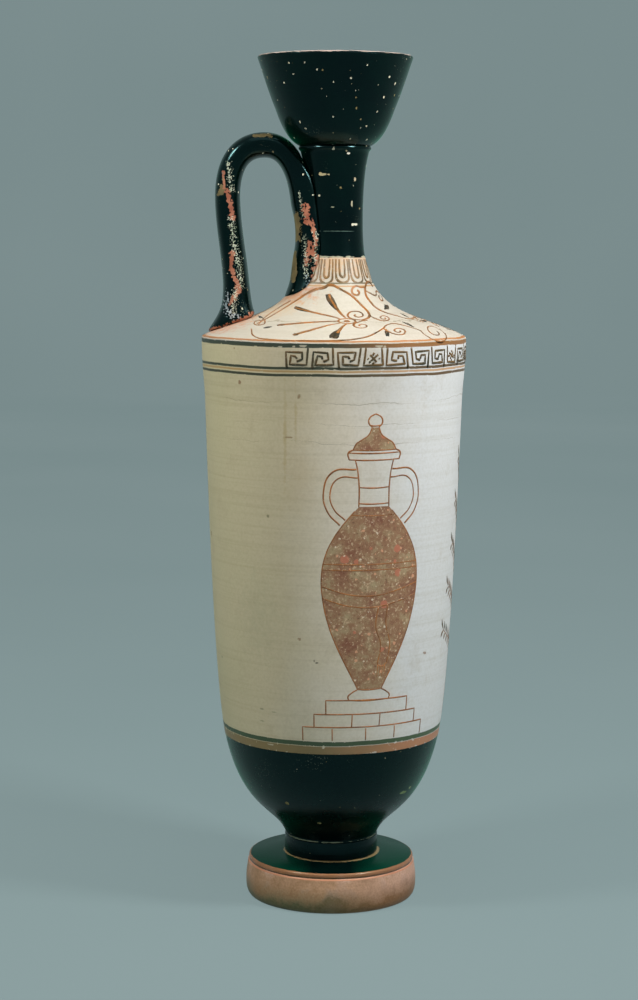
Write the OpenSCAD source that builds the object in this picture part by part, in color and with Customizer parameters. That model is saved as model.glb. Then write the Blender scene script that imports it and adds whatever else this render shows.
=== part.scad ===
// White-ground lekythos: a tall one-handled oil bottle, thrown in sections and luted together.
// Millimetres, +Z up, origin at the centre of the resting ring. The handle stands on the -X side,
// so the painted front of the bottle faces +X.

/* [Whole bottle] */
// Height of the whole bottle; the wall takes up what the other pieces leave
bottle_h = 360; // [330:1:400]

/* [Foot] */
// Widest radius of the disc foot
foot_r = 37; // [34:0.5:42]
// Radius of the outer edge of the resting ring
foot_rest_r = 35.4; // [33:0.2:36]
// Height of the foot's upper edge
foot_h = 17.3; // [14:0.1:22]
// Rise of the top face from its edge to the stem
foot_rise = 1.1; // [0.4:0.1:2.5]
// Depth of the groove turned round the upper edge
foot_groove = 0.7; // [0.3:0.1:1.2]
// Height of that groove
foot_groove_h = 1.6; // [1:0.1:2.4]
// Radius of the hollow turned in the underside
hollow_r = 27.5; // [22:0.5:30]
// Depth of that hollow
hollow_h = 9; // [5:0.5:11]

/* [Stem fillet] */
// Radius of the fillet between foot and bowl
fillet_r = 20.1; // [17:0.1:24]
// Height of the fillet
fillet_h = 9.2; // [6:0.1:13]
// Depth of the lines scraped round its two edges
fillet_line = 0.35; // [0.2:0.05:0.8]

/* [Bowl and wall] */
// Thickness of the thrown wall
wall_t = 4.5; // [3.5:0.1:6]
// Height of the bowl under the wall
bowl_h = 43.9; // [34:0.5:56]
// Thickness of the bowl's floor
floor_t = 9; // [7:0.5:12]
// Rounding where the floor meets the bowl's lining
floor_round = 3; // [2:0.5:5]
// Radius where bowl and wall meet
wall_base_r = 46.4; // [42:0.2:50]
// Radius below the pattern band
wall_r = 54.8; // [52:0.2:57]
// How far the pattern band flares out from that
band_out = 1.4; // [0:0.1:3]
// Height of the pattern band, where the wall flares a little
band_h = 26.5; // [20:0.5:34]

/* [Shoulder] */
// Height of the shoulder's rim above its seam
rim_edge_h = 1.5; // [1:0.1:2.5]
// Rounding of the edge between wall and shoulder
edge_round = 0.7; // [0.3:0.1:1]
// Rise of the sloping shoulder
shoulder_h = 21.8; // [17:0.2:28]
// Thickness of the shoulder
shoulder_t = 4.2; // [3.4:0.1:5.2]
// Radius where the slope meets the collar
collar_r = 16.8; // [16:0.1:19]
// Height of the collar under the neck
collar_h = 11.2; // [9:0.2:14]

/* [Neck] */
// Radius of the neck's foot
neck_base_r = 13.1; // [12.6:0.1:15]
// Radius at the neck's waist
neck_waist_r = 12; // [11.6:0.1:13]
// Height of the waist above the neck's foot
neck_waist_h = 16; // [12:0.5:22]
// Radius under the ring at the top of the neck
neck_top_r = 14.5; // [14:0.1:16]
// Height of the neck, its ring included
neck_h = 46.5; // [36:0.5:60]
// Height of the ring at the top of the neck
ring_h = 2.2; // [1.4:0.1:3]
// How far the ring stands out from the neck
ring_out = 0.8; // [0.4:0.1:1.4]
// Radius of the throat
throat_r = 7.5; // [6:0.1:8.2]

/* [Mouth] */
// Height of the mouth
mouth_h = 37.5; // [30:0.5:46]
// Radius of the underside where it meets the neck
mouth_base_r = 15; // [14:0.1:17]
// Height of the rounded lower part of the mouth
mouth_round_h = 15.5; // [12:0.5:19]
// Radius where the rounded part turns into the flare
mouth_turn_r = 25.2; // [23:0.2:28]
// Radius of the rim
rim_r = 32.7; // [30:0.5:38]
// Wall of the mouth
mouth_t = 4.2; // [3.2:0.1:5]
// Edge of the rim, worn round
rim_round = 0.8; // [0.4:0.1:1.2]

/* [Handle] */
// Thickness of the strap, seen from the side
strap_t = 10.8; // [8:0.2:12]
// Width of the strap at the top of its arch
strap_w = 18; // [14:0.5:20]
// Width of the strap at its outer root
root_w = 25; // [20:0.5:28]
// Width of its inner root, where it is wrapped round the collar
inner_w = 27; // [22:0.5:30]
// How far below the collar the middle of the inner root lies
root_drop = 3.6; // [2:0.1:5]
// How much thicker the strap grows at its outer root
root_flare = 9; // [4:0.5:10]
// Distance of the outer root from the bottle's axis
root_out = 42.4; // [39:0.2:44]
// How far the leg steps in from its flared root
root_lean = 1.6; // [0:0.1:3]
// How far the outer leg leans out above its root
leg_lean = 4.5; // [0:0.5:6]
// Distance of the top of the arch from the bottle's axis
arch_out = 29.6; // [28:0.1:32]
// How far the strap's centre line rises above the neck's top
arch_rise = 0.5; // [0:0.1:2]
// Depth below the neck's top at which the outer leg starts to arch over
leg_drop = 21.5; // [17:0.5:26]
// Depth below the neck's top at which the strap lies fully on the neck
lie_drop = 24.5; // [21:0.5:28]
// How far the strap's centre line lies off the neck's waist
lie_out = 1.8; // [1:0.1:3]
// How much thinner the strap is pressed where it lies on the neck
press = 1.4; // [0:0.1:2]

/* [Joints] */
// Film of slip between two pieces that are luted together
slip = 0.1; // [0.05:0.01:0.2]
// Height of the spigots that centre one piece in the next
spigot_h = 4; // [3:0.5:5]
// Thickness of a spigot's wall
spigot_t = 3.2; // [2.6:0.1:3.6]
// Radius of the plugs under the bowl and the fillet
plug_r = 12; // [9:0.5:14]
// Height of those plugs
plug_h = 2.8; // [2:0.1:3.4]

/* [Hidden] */
$fn = 96;
curve_steps = 16;      // straight pieces in each drawn curve
strap_rings = 14;      // rings in each of the handle's four curves
strap_sides = 20;      // points round the strap's section
strap_square = 0.82;   // below 1 the strap's section is squarer than an ellipse
side_lean = 0.97;      // how wide the strap is on the neck's clay, as a share of its full width
root_reach = 6;        // height in which the outer root's flare falls to about a third
root_tilt = 3;         // how strongly the rings at both roots turn square to the clay

// Radius of the pattern band and of the shoulder's edge above it
band_r = wall_r + band_out;

// Levels: the lower pieces counted up from the ground, the upper ones down from the rim
fillet_z = foot_h + foot_rise;
bowl_z = fillet_z + fillet_h;
wall_z = bowl_z + bowl_h;
top_z = bottle_h;
mouth_z = top_z - mouth_h;
neck_z = mouth_z - neck_h;
collar_z = neck_z - collar_h;
edge_z = collar_z - shoulder_h;
seam_z = edge_z - rim_edge_h;
floor_z = bowl_z + floor_t;

// How each curve pulls away from its two ends, as shares of its own width and height
bowl_pulls = [[0.2, 0.27], [0.73, 0.24]];
wall_pulls = [[0.524, 0.171], [0.833, 0.686]];
band_pulls = [[0.286, 0.34], [0.857, 0.5]];
shoulder_pulls = [[0.39, 0.37], [0.8, 0.35]];
collar_pulls = [[0.42, 0.41], [0.76, 0.73]];
neck_low_pulls = [[0.6, 0.19], [1, 0.56]];
neck_high_pulls = [[0, 0.39], [0.2, 0.74]];
mouth_round_pulls = [[0.41, 0.15], [0.68, 0.4]];
mouth_flare_pulls = [[0.33, 0.28], [0.66, 0.64]];
hollow_pulls = [[0.1, 0.55], [0.5, 1]];
leg_pulls = [[-1.1, 0.33], [0.9, 0.66]];
rise_pulls = [[0, 0.71], [0.41, 1]];
fall_pulls = [[0.6, 0], [0.91, 0.36]];
run_pulls = [[-0.7, 0.28], [-0.6, 0.66]];

// Curve from a to b that leaves and arrives by its pulls
function curve(a, b, pulls, n = curve_steps) =
    let (d = b - a,
         p = a + [d[0] * pulls[0][0], d[1] * pulls[0][1]],
         q = a + [d[0] * pulls[1][0], d[1] * pulls[1][1]])
    [for (i = [0:n]) let (t = i / n, u = 1 - t)
        u * u * u * a + 3 * u * u * t * p + 3 * u * t * t * q + t * t * t * b];

function unit(v) = v / norm(v);
function tangent(path, i) = unit(path[min(i + 1, len(path) - 1)] - path[max(i - 1, 0)]);

// The same line moved by d towards the axis, for a line that runs upwards
function inset(path, d) =
    [for (i = [0:len(path) - 1]) let (t = tangent(path, i)) path[i] + d * [-t[1], t[0]]];

function rest(path) = [for (i = [1:len(path) - 1]) path[i]];
function flip(path) = [for (i = [len(path) - 1:-1:0]) path[i]];
function above(path, z) = [for (p = path) if (p[1] > z) p];
function below(path, z) = [for (p = path) if (p[1] < z) p];

// Radius of an upward line at height z
function radius_at(path, z) = lookup(z, [for (p = path) [p[1], p[0]]]);

// Outer lines of the pieces, each from its lower seam to its upper one
function bowl_line() = curve([fillet_r, bowl_z], [wall_base_r, wall_z], bowl_pulls);
function wall_line() =
    concat(curve([wall_base_r, wall_z], [wall_r, edge_z - band_h], wall_pulls),
           rest(curve([wall_r, edge_z - band_h], [band_r, seam_z - rim_edge_h], band_pulls)),
           [[band_r, seam_z]]);
function slope_line() =
    curve([band_r - edge_round, edge_z], [collar_r, collar_z], shoulder_pulls);
function collar_line() = curve([collar_r - fillet_line, collar_z], [neck_base_r, neck_z], collar_pulls);
function shoulder_line() =
    concat([[band_r, seam_z], [band_r, edge_z - edge_round]], slope_line(), collar_line());
function neck_line() =
    concat(curve([neck_base_r, neck_z], [neck_waist_r, neck_z + neck_waist_h], neck_low_pulls),
           rest(curve([neck_waist_r, neck_z + neck_waist_h], [neck_top_r, mouth_z - ring_h],
                      neck_high_pulls)),
           [[neck_top_r + ring_out, mouth_z - 0.6 * ring_h],
            [neck_top_r + ring_out, mouth_z - 0.25 * ring_h],
            [neck_top_r + 0.6 * ring_out, mouth_z]]);
function mouth_line() =
    concat(curve([mouth_base_r, mouth_z], [mouth_turn_r, mouth_z + mouth_round_h], mouth_round_pulls),
           rest(curve([mouth_turn_r, mouth_z + mouth_round_h], [rim_r, top_z - rim_round],
                      mouth_flare_pulls)));

// Lining of the bottle: the spigot bores follow it, so that they fit the wall
wall_lining = inset(wall_line(), wall_t);
low_spigot_r = radius_at(wall_lining, wall_z) - slip;
high_spigot_r = radius_at(wall_lining, seam_z - spigot_h) - slip;
collar_bore_r = throat_r + spigot_t - 0.4;
mouth_spigot_r = throat_r + spigot_t;

// Disc foot with a rounded side, a groove under its top edge and a hollow underside
module foot() {
    side_top = foot_h - foot_groove_h;
    edge_r = foot_r - 1.5;
    side = [[foot_rest_r, 0], [foot_r - 0.7, 1.2], [foot_r - 0.1, 3.4], [foot_r, 6.4],
            [foot_r - 0.2, 0.58 * side_top], [foot_r - 0.6, 0.78 * side_top],
            [edge_r + 0.6, side_top]];
    groove = [[edge_r + 0.6 - foot_groove, side_top + 0.35 * foot_groove_h],
              [edge_r + 0.6 - foot_groove, side_top + 0.6 * foot_groove_h],
              [edge_r, foot_h - 0.2 * foot_groove_h], [edge_r - 0.5, foot_h]];
    seat = [[fillet_r, fillet_z], [plug_r + slip, fillet_z],
            [plug_r + slip, fillet_z - plug_h - slip], [0, fillet_z - plug_h - slip]];
    hollow = curve([hollow_r, 0], [0, hollow_h], hollow_pulls);
    color("#b5794f")
        rotate_extrude()
            polygon(concat(side, groove, seat, flip(hollow)));
}

// Fillet of clay between foot and bowl, with a plug below and a socket above
module stem_fillet() {
    color("#14201e")
        rotate_extrude()
            polygon([[0, fillet_z - plug_h], [plug_r, fillet_z - plug_h], [plug_r, fillet_z],
                     [fillet_r - fillet_line, fillet_z], [fillet_r, fillet_z + fillet_line],
                     [fillet_r, bowl_z - fillet_line], [fillet_r - fillet_line, bowl_z],
                     [plug_r + slip, bowl_z], [plug_r + slip, bowl_z - plug_h - slip],
                     [0, bowl_z - plug_h - slip]]);
}

// Rounded bowl that closes the bottle below, with a spigot that rises inside the wall
module lower_body() {
    lining = above(inset(bowl_line(), wall_t), floor_z + 1);
    color("#14201e")
        rotate_extrude()
            polygon(concat([[0, bowl_z - plug_h], [plug_r, bowl_z - plug_h], [plug_r, bowl_z]],
                           bowl_line(),
                           [[low_spigot_r, wall_z], [low_spigot_r, wall_z + spigot_h],
                            [low_spigot_r - spigot_t, wall_z + spigot_h],
                            [low_spigot_r - spigot_t, wall_z - spigot_h]],
                           flip(below(lining, wall_z - spigot_h - 1)),
                           [[lining[0][0] - floor_round, floor_z], [0, floor_z]]));
}

// Nearly straight wall of the bottle, open at both ends
module body_wall() {
    inner = above(below(wall_lining, seam_z), wall_z);
    color("#d9d3c0")
        rotate_extrude()
            polygon(concat(wall_line(), [[radius_at(wall_lining, seam_z), seam_z]], flip(inner),
                           [[radius_at(wall_lining, wall_z), wall_z]]));
}

// Sloping shoulder with the collar that takes the neck, and a spigot that drops inside the wall
module shoulder() {
    lining = inset(slope_line(), shoulder_t);
    inside = [for (p = lining) if (p[0] < high_spigot_r - spigot_t - 1 && p[0] > collar_bore_r + 1) p];
    color("#d9d3c0")
        rotate_extrude()
            polygon(concat(shoulder_line(),
                           [[collar_bore_r + slip, neck_z],
                            [collar_bore_r + slip, inside[len(inside) - 1][1]]],
                           flip(inside),
                           [[high_spigot_r - spigot_t, inside[0][1] - 1],
                            [high_spigot_r - spigot_t, seam_z - spigot_h],
                            [high_spigot_r, seam_z - spigot_h], [high_spigot_r, seam_z]]));
}

// Neck with its waist and ring, a spigot below and a socket for the mouth above
module neck() {
    color("#101716")
        rotate_extrude()
            polygon(concat([[throat_r, neck_z - spigot_h], [collar_bore_r, neck_z - spigot_h],
                            [collar_bore_r, neck_z]],
                           neck_line(),
                           [[mouth_spigot_r + slip, mouth_z],
                            [mouth_spigot_r + slip, mouth_z - spigot_h - slip],
                            [throat_r, mouth_z - spigot_h - slip]]));
}

// Cup-shaped mouth with a flat rim; it narrows to the throat and plugs into the neck
module mouth() {
    lead_r = throat_r + 0.5;
    cup_z = mouth_z + mouth_t;
    lining = [for (p = inset(mouth_line(), mouth_t)) if (p[1] > cup_z + 1 && p[1] < top_z - 1) p];
    color("#101716")
        rotate_extrude()
            polygon(concat([[lead_r, mouth_z - spigot_h], [mouth_spigot_r, mouth_z - spigot_h],
                            [mouth_spigot_r, mouth_z]],
                           mouth_line(),
                           [[rim_r - rim_round, top_z], [rim_r - mouth_t, top_z]],
                           flip(lining),
                           [[lead_r + 2, cup_z], [lead_r, cup_z - 2]]));
}

// Surface that the handle is luted to: shoulder, collar and neck, a film of slip above the clay
seat_line = concat(inset(slope_line(), -slip), inset(collar_line(), -slip), inset(neck_line(), -slip));

// Point of a line that lies closest to p
function closest(path, p) =
    let (feet = [for (i = [0:len(path) - 2])
             let (run = path[i + 1] - path[i],
                  t = (p - path[i]) * run / (run * run))
             path[i] + max(0, min(1, t)) * run],
         gaps = [for (f = feet) norm(f - p)])
    [for (i = [0:len(feet) - 1]) if (gaps[i] == min(gaps)) feet[i]][0];

// A point brought onto that surface, and one that is only pressed out where it is sunk in it
function seated(p) =
    let (r = norm([p[0], p[1]]), q = closest(seat_line, [r, p[2]]))
    [p[0] * q[0] / r, p[1] * q[0] / r, q[1]];
function sunk(p) = p[2] < mouth_z && norm([p[0], p[1]]) < radius_at(seat_line, p[2]);
function pressed(p) = sunk(p) ? seated(p) : p;

// Centre line of the strap as [distance from the axis, height], from the outer root to the inner
outer_root = [root_out, lookup(root_out, flip(slope_line()))];
leg_top = [root_out - root_lean + leg_lean, mouth_z - leg_drop];
arch_top = [arch_out, mouth_z + arch_rise];
neck_lie = [neck_waist_r + lie_out, mouth_z - lie_drop];
inner_root = closest(seat_line, [collar_r, collar_z - root_drop]);
function strap_line() =
    concat(curve(outer_root, leg_top, leg_pulls, strap_rings),
           rest(curve(leg_top, arch_top, rise_pulls, strap_rings)),
           rest(curve(arch_top, neck_lie, fall_pulls, strap_rings)),
           rest(curve(neck_lie, inner_root, run_pulls, strap_rings)));

// Rises smoothly from 0 to 1 while x goes from a to b
function ramp(a, b, x) =
    let (t = max(0, min(1, (x - a) / (b - a)))) t * t * (3 - 2 * t);

// Direction that ring i faces: along the strap, and square to the clay at both roots
function facing(path, i) =
    let (s = i / (len(path) - 1))
    unit(tangent(path, i) + (1 - ramp(0, 0.1, s)) * root_tilt * [0.35, 1]
         + ramp(0.9, 1, s) * root_tilt * [-1, -0.6]);

// One ring of the strap: a squared oval across the line, wide along Y. s runs from 0 at the
// outer root to 1 at the inner one. Where the strap lies on the neck, the oval's inner half
// follows the clay, and towards the root its outer half is wrapped round it too.
function strap_ring(path, i, size = 1) =
    let (t = facing(path, i),
         s = i / (len(path) - 1),
         half_w = s < 0.5 ? (strap_w + (root_w - strap_w) * pow(1 - 2 * s, 3)) / 2
                          : (strap_w + (inner_w - strap_w) * pow(2 * s - 1, 1.5)) / 2,
         flare = root_flare * exp((outer_root[1] - path[i][1]) / root_reach) * (1 - ramp(0.3, 0.5, s)),
         half_t = (strap_t + flare - press * ramp(0.5, 0.75, s)) / 2,
         lying = ramp(0.6, 0.72, s),
         wrap = ramp(0.78, 1, s),
         step = 360 / strap_sides)
    [for (k = [0:strap_sides - 1])
        let (a = k * step,
             inner = cos(a) > 0.01,
             across = sign(cos(a)) * pow(abs(cos(a)), strap_square),
             oval_y = sign(sin(a)) * pow(abs(sin(a)), strap_square),
             even_y = side_lean * (a > 180 ? a - 360 : a) / (90 - step),
             y = size * half_w * (inner ? oval_y + (even_y - oval_y) * lying : oval_y),
             q = path[i] + size * half_t * across * [t[1], -t[0]],
             r = inner ? radius_at(seat_line, q[1]) : q[0],
             round_x = sqrt(max(1, r * r - y * y)))
        [-q[0] - (round_x - q[0]) * (inner ? lying : wrap), y, q[1]]];

// Strap handle: it rises from the shoulder, arches over and lies down along the neck. Rings on
// the clay under each root close its two ends.
module handle() {
    path = strap_line();
    last = len(path) - 1;
    n = strap_sides;
    root_sizes = [1 / 3, 2 / 3, 1];
    rings = concat([for (size = root_sizes) [for (p = strap_ring(path, 0, size)) seated(p)]],
                   [for (i = [1:last - 1]) [for (p = strap_ring(path, i)) pressed(p)]],
                   [for (size = flip(root_sizes)) [for (p = strap_ring(path, last, size)) seated(p)]]);
    ends = [seated([-path[0][0], 0, path[0][1]]), seated([-path[last][0], 0, path[last][1]])];
    count = len(rings);
    sides = [for (i = [0:count - 2], k = [0:n - 1])
        each [[i * n + k, (i + 1) * n + (k + 1) % n, (i + 1) * n + k],
              [i * n + k, i * n + (k + 1) % n, (i + 1) * n + (k + 1) % n]]];
    first_cap = [for (k = [0:n - 1]) [count * n, (k + 1) % n, k]];
    last_cap = [for (k = [0:n - 1]) [count * n + 1, (count - 1) * n + k, (count - 1) * n + (k + 1) % n]];
    color("#101716")
        polyhedron(points = concat([for (ring = rings) each ring], ends),
                   faces = concat(first_cap, sides, last_cap));
}

foot();
stem_fillet();
lower_body();
body_wall();
shoulder();
neck();
mouth();
handle();
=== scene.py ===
# %% [markdown]
# # A white-ground lekythos
# A lekythos is a tall Greek oil flask. It is thrown on the wheel in sections, luted together with
# slip, painted with a clay slip that fires glossy black, and its body is coated with a fine white
# slip that carries drawing in thin golden-brown lines. This file dresses the measured model of such
# a flask: it throws each section again as a finer surface, paints it and gives it its fired finish.
#
# First the measured model is loaded. Nothing in it is moved; each section made below takes the
# place of one of its nodes.

# %% Load the measured model
import math
from functools import partial

import bmesh
import bpy
from mathutils import Matrix, Vector


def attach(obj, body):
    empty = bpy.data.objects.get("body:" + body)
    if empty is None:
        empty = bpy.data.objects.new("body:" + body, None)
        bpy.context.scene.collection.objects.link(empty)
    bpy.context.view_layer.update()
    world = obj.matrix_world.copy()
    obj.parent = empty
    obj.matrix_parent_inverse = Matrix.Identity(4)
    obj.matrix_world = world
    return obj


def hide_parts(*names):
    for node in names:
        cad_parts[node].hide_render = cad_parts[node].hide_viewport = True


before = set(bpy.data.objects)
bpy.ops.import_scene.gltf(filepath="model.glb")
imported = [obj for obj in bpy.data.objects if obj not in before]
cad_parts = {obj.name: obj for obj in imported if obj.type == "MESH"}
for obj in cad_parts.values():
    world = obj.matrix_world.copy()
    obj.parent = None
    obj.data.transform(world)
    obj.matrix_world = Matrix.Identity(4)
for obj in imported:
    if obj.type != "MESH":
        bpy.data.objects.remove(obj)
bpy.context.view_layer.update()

MM = 0.001
print("sections:", sorted(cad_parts))

# %% [markdown]
# ## The potter's lines
# Every thrown section is a line turned round the wheel's axis. A potter draws it with a rib, and
# here it is a Bezier curve: two ends, and two pulls that say how it leaves and arrives, as shares
# of its own width and height. Sizes are in millimetres: distance from the axis, then height.

# %% Curves, and the inner side of a wall
FOOT_TOP = 18.4
FILLET_R, BOWL_FOOT = 20.1, 27.6
BOWL_R, WALL_FOOT = 46.4, 71.5
WALL_R, WALL_TOP = 56.2, 241.5
COLLAR_FOOT, COLLAR_TOP = 264.8, 276
THROAT_R, NECK_TOP = 7.5, 322.5
THICK, THIN = 4.5, 4.2


def rib_line(start, end, leave, arrive, steps=20):
    width, height = end[0] - start[0], end[1] - start[1]
    ends = [start, (start[0] + leave[0] * width, start[1] + leave[1] * height),
            (start[0] + arrive[0] * width, start[1] + arrive[1] * height), end]
    line = []
    for i in range(steps + 1):
        t = i / steps
        share = [(1 - t) ** 3, 3 * t * (1 - t) ** 2, 3 * t * t * (1 - t), t ** 3]
        line.append(tuple(sum(s * p[axis] for s, p in zip(share, ends)) for axis in (0, 1)))
    return line


def moved_in(line, depth):
    moved = []
    for i, (r, z) in enumerate(line):
        a, b = line[max(i - 1, 0)], line[min(i + 1, len(line) - 1)]
        run, rise = b[0] - a[0], b[1] - a[1]
        length = math.hypot(run, rise)
        moved.append((r - depth * rise / length, z + depth * run / length))
    return moved


bowl_line = rib_line((FILLET_R, BOWL_FOOT), (BOWL_R, WALL_FOOT), (0.2, 0.27), (0.73, 0.24), 36)
wall_line = (rib_line((BOWL_R, WALL_FOOT), (54.8, 216.5), (0.524, 0.171), (0.833, 0.686), 40)
             + rib_line((54.8, 216.5), (WALL_R, 240.0), (0.286, 0.34), (0.857, 0.5), 10)[1:]
             + [(WALL_R, WALL_TOP)])
slope_line = rib_line((55.5, 243.0), (16.8, COLLAR_FOOT), (0.39, 0.37), (0.8, 0.35), 36)
collar_line = rib_line((16.45, COLLAR_FOOT), (13.1, COLLAR_TOP), (0.42, 0.41), (0.76, 0.73), 12)
neck_line = (rib_line((13.1, COLLAR_TOP), (12, 292), (0.6, 0.19), (1, 0.56), 16)
             + rib_line((12, 292), (14.5, 320.3), (0, 0.39), (0.2, 0.74), 20)[1:])
mouth_line = (rib_line((15, NECK_TOP), (25.2, 338), (0.41, 0.15), (0.68, 0.4), 22)
              + rib_line((25.2, 338), (32.7, 359.2), (0.33, 0.28), (0.66, 0.64), 14)[1:])
print("points on the wall's line:", len(wall_line))

# %% [markdown]
# ## Throwing a section
# On the wheel a section is drawn up as a ring of clay. In Blender the same ring is made by hand
# from one vertex: it is extruded along the section's outline, and the outline is spun round the
# axis. The seam's double vertices are merged, and then the normals are turned outwards.

# %% Throw an outline on the wheel
def throw_on_wheel(name, outline, node, turns=160, keep_sharp=38):
    bpy.ops.object.select_all(action="DESELECT")
    bpy.ops.mesh.primitive_plane_add(size=MM, location=(0, 0, 0))
    piece = bpy.context.object
    piece.name = name
    bpy.ops.object.mode_set(mode="EDIT")
    bpy.ops.mesh.select_all(action="SELECT")
    bpy.ops.mesh.merge(type="CENTER")
    here = Vector((0, 0, 0))
    for i, (r, z) in enumerate(outline):
        there = Vector((r, 0, z)) * MM
        if i == 0:
            bpy.ops.transform.translate(value=there)
        else:
            bpy.ops.mesh.extrude_region_move(TRANSFORM_OT_translate={"value": there - here})
        here = there
    bpy.ops.mesh.select_all(action="SELECT")
    bpy.ops.mesh.spin(steps=turns, angle=2 * math.pi, center=(0, 0, 0), axis=(0, 0, 1))
    bpy.ops.mesh.select_all(action="SELECT")
    bpy.ops.mesh.remove_doubles(threshold=1e-6)
    bpy.ops.mesh.normals_make_consistent(inside=False)
    bpy.ops.object.mode_set(mode="OBJECT")
    bpy.ops.object.shade_smooth_by_angle(angle=math.radians(keep_sharp))
    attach(piece, "root")
    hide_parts(node)
    print(name, "faces:", len(piece.data.polygons))
    return piece


def closed(outline):
    return outline + outline[:1]


# %% [markdown]
# ## Foot and fillet
# The disc foot is turned from leather-hard clay. Its side bulges softly, a groove runs under its
# top edge, and its underside is hollowed, so that it rests on a narrow ring. A thin fillet of clay
# sits between it and the bowl. Corners of turned clay are never razor-sharp, so the outline takes
# each of them in two or three short steps.

# %% Foot
foot_side = [(34.8, 0), (35.6, 0.25), (36.3, 1.2), (36.75, 2.6), (36.95, 4.2), (37, 6.4), (36.95, 8.2),
             (36.8, 9.8), (36.6, 11.3), (36.4, 12.6), (36.25, 13.8), (36.15, 14.5), (35.95, 14.95),
             (35.5, 15.2), (35.42, 15.45), (35.6, 15.7), (35.72, 16.1), (35.72, 16.7), (35.5, 17.15),
             (35.1, 17.4)]
foot_top = [(FILLET_R, FOOT_TOP), (0, FOOT_TOP)]
hollow = rib_line((0, 9), (27.5, 0), (0.5, 0), (0.9, 0.45), 16)
foot = throw_on_wheel("disc_foot", hollow + foot_side + foot_top, "foot")

# %% Fillet
fillet = throw_on_wheel("stem_ring", closed(
    [(12.1, FOOT_TOP), (19.5, FOOT_TOP), (19.8, 18.5), (20.05, 18.8), (20.1, 20.5), (20.08, 23),
     (20.1, 26.2), (19.75, 26.5), (19.72, 26.9), (20.08, 27.2), (20, 27.5), (19.75, BOWL_FOOT),
     (12.1, BOWL_FOOT)]), "stem_fillet")

# %% [markdown]
# ## Bowl, wall and shoulder
# The underpart is a rounded bowl; the wall rises from it, swelling slowly to a band under the
# shoulder; the shoulder slopes in to a short collar. The wall's lining is the same line moved in by
# the clay's thickness.

# %% Bowl
BOWL_FLOOR = 36.6
bowl_lining = [p for p in moved_in(bowl_line, THICK) if p[1] > BOWL_FLOOR + 1]
bowl = throw_on_wheel("bowl", [(0, BOWL_FOOT)] + bowl_line + [(BOWL_R - THICK, WALL_FOOT)]
                      + bowl_lining[::-1] + [(bowl_lining[0][0] - 3, BOWL_FLOOR), (0, BOWL_FLOOR)],
                      "lower_body")

# %% Wall
wall_lining = moved_in(wall_line, THICK)
wall = throw_on_wheel("white_wall", closed(wall_line + wall_lining[::-1]), "body_wall")

# %% Shoulder with its collar
shoulder_lining = [p for p in moved_in(slope_line, THIN) if 14 < p[0] < 51.5]
edge = [(WALL_R, WALL_TOP), (WALL_R, 242.1), (56.1, 242.55), (55.85, 242.85)]
shoulder = throw_on_wheel("white_shoulder", closed(
    edge + slope_line + [(16.6, 265.0)] + collar_line[1:] + [(10.4, COLLAR_TOP), (10.4, 262)]
    + shoulder_lining[::-1] + [(51.6, WALL_TOP)]), "shoulder")

# %% [markdown]
# ## Neck and mouth
# The neck is drawn up round a stick, waisted, with a small ring under the mouth. The mouth is a
# separate small cup with a flat rim, luted on last. Its inside funnels down to the throat.

# %% Neck
ring_line = [(15.1, 321.0), (15.32, 321.3), (15.34, 321.8), (15.2, 322.15), (14.98, NECK_TOP)]
neck = throw_on_wheel("waisted_neck", closed(
    [(THROAT_R, 272), (10.2, 272), (10.2, COLLAR_TOP)] + neck_line + ring_line
    + [(THROAT_R, NECK_TOP)]), "neck")

# %% Mouth
mouth_lining = [p for p in moved_in(mouth_line, THIN) if 327.7 < p[1] < 358.4]
rim = [(32.55, 359.6), (32.25, 359.88), (31.8, 360), (29.2, 360), (28.75, 359.85), (28.5, 359.5)]
mouth = throw_on_wheel("cup_mouth", closed(
    [(THROAT_R, NECK_TOP)] + mouth_line + rim + mouth_lining[::-1] + [(10, 326.7), (8.2, 325)]),
    "mouth")

# %% [markdown]
# ## Handle
# The handle is a strap, pulled from a lump of wet clay with a wet hand, bent over and pressed on
# while it is soft. The measured model already has its path and its changing section, so a copy of
# that node is merged into one skin and rounded with Subdivision Surface, which gives the soft
# edges that a wet hand leaves. The node itself is left as it is. A thumb then presses the outer
# root down, so that its last 12 mm spread on the shoulder.

# %% Strap handle
ROOT_X, ROOT_INNER, HALF_ROOT = -46.5, -36, 4
SPREAD_MM, SPREAD_INWARDS, REACH_MM = 3.2, 0.6, 12


def take_up(piece):
    bpy.ops.object.select_all(action="DESELECT")
    piece.select_set(True)
    bpy.context.view_layer.objects.active = piece


def slope_height(x, y):
    r = math.hypot(x, y)
    for (r_out, z_out), (r_in, z_in) in zip(slope_line, slope_line[1:]):
        if r >= r_in:
            return z_out + (z_in - z_out) * (r - r_out) / (r_in - r_out)
    return slope_line[-1][1]


strap = bpy.data.objects.new("strap_handle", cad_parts["handle"].data.copy())
bpy.context.scene.collection.objects.link(strap)
strap.data.materials.clear()
take_up(strap)
bpy.ops.object.mode_set(mode="EDIT")
bpy.ops.mesh.select_all(action="SELECT")
bpy.ops.mesh.remove_doubles(threshold=1e-6)
bpy.ops.mesh.tris_convert_to_quads(face_threshold=math.radians(60), shape_threshold=math.radians(60))
bpy.ops.object.mode_set(mode="OBJECT")
softened = strap.modifiers.new("wet_hand", "SUBSURF")
softened.levels = softened.render_levels = 2
bpy.ops.object.modifier_apply(modifier=softened.name)
for v in strap.data.vertices:
    x, y, z = (c / MM for c in v.co)
    near = 1 - max(0, z - slope_height(x, y)) / REACH_MM
    if x < ROOT_INNER and near > 0:
        push = max(-1, min(SPREAD_INWARDS, (x - ROOT_X) / HALF_ROOT))
        moved_x = x + SPREAD_MM * near ** 2 * push
        v.co = Vector((moved_x, y, z + slope_height(moved_x, y) - slope_height(x, y))) * MM
bpy.ops.object.shade_smooth_by_angle(angle=math.radians(60))

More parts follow.
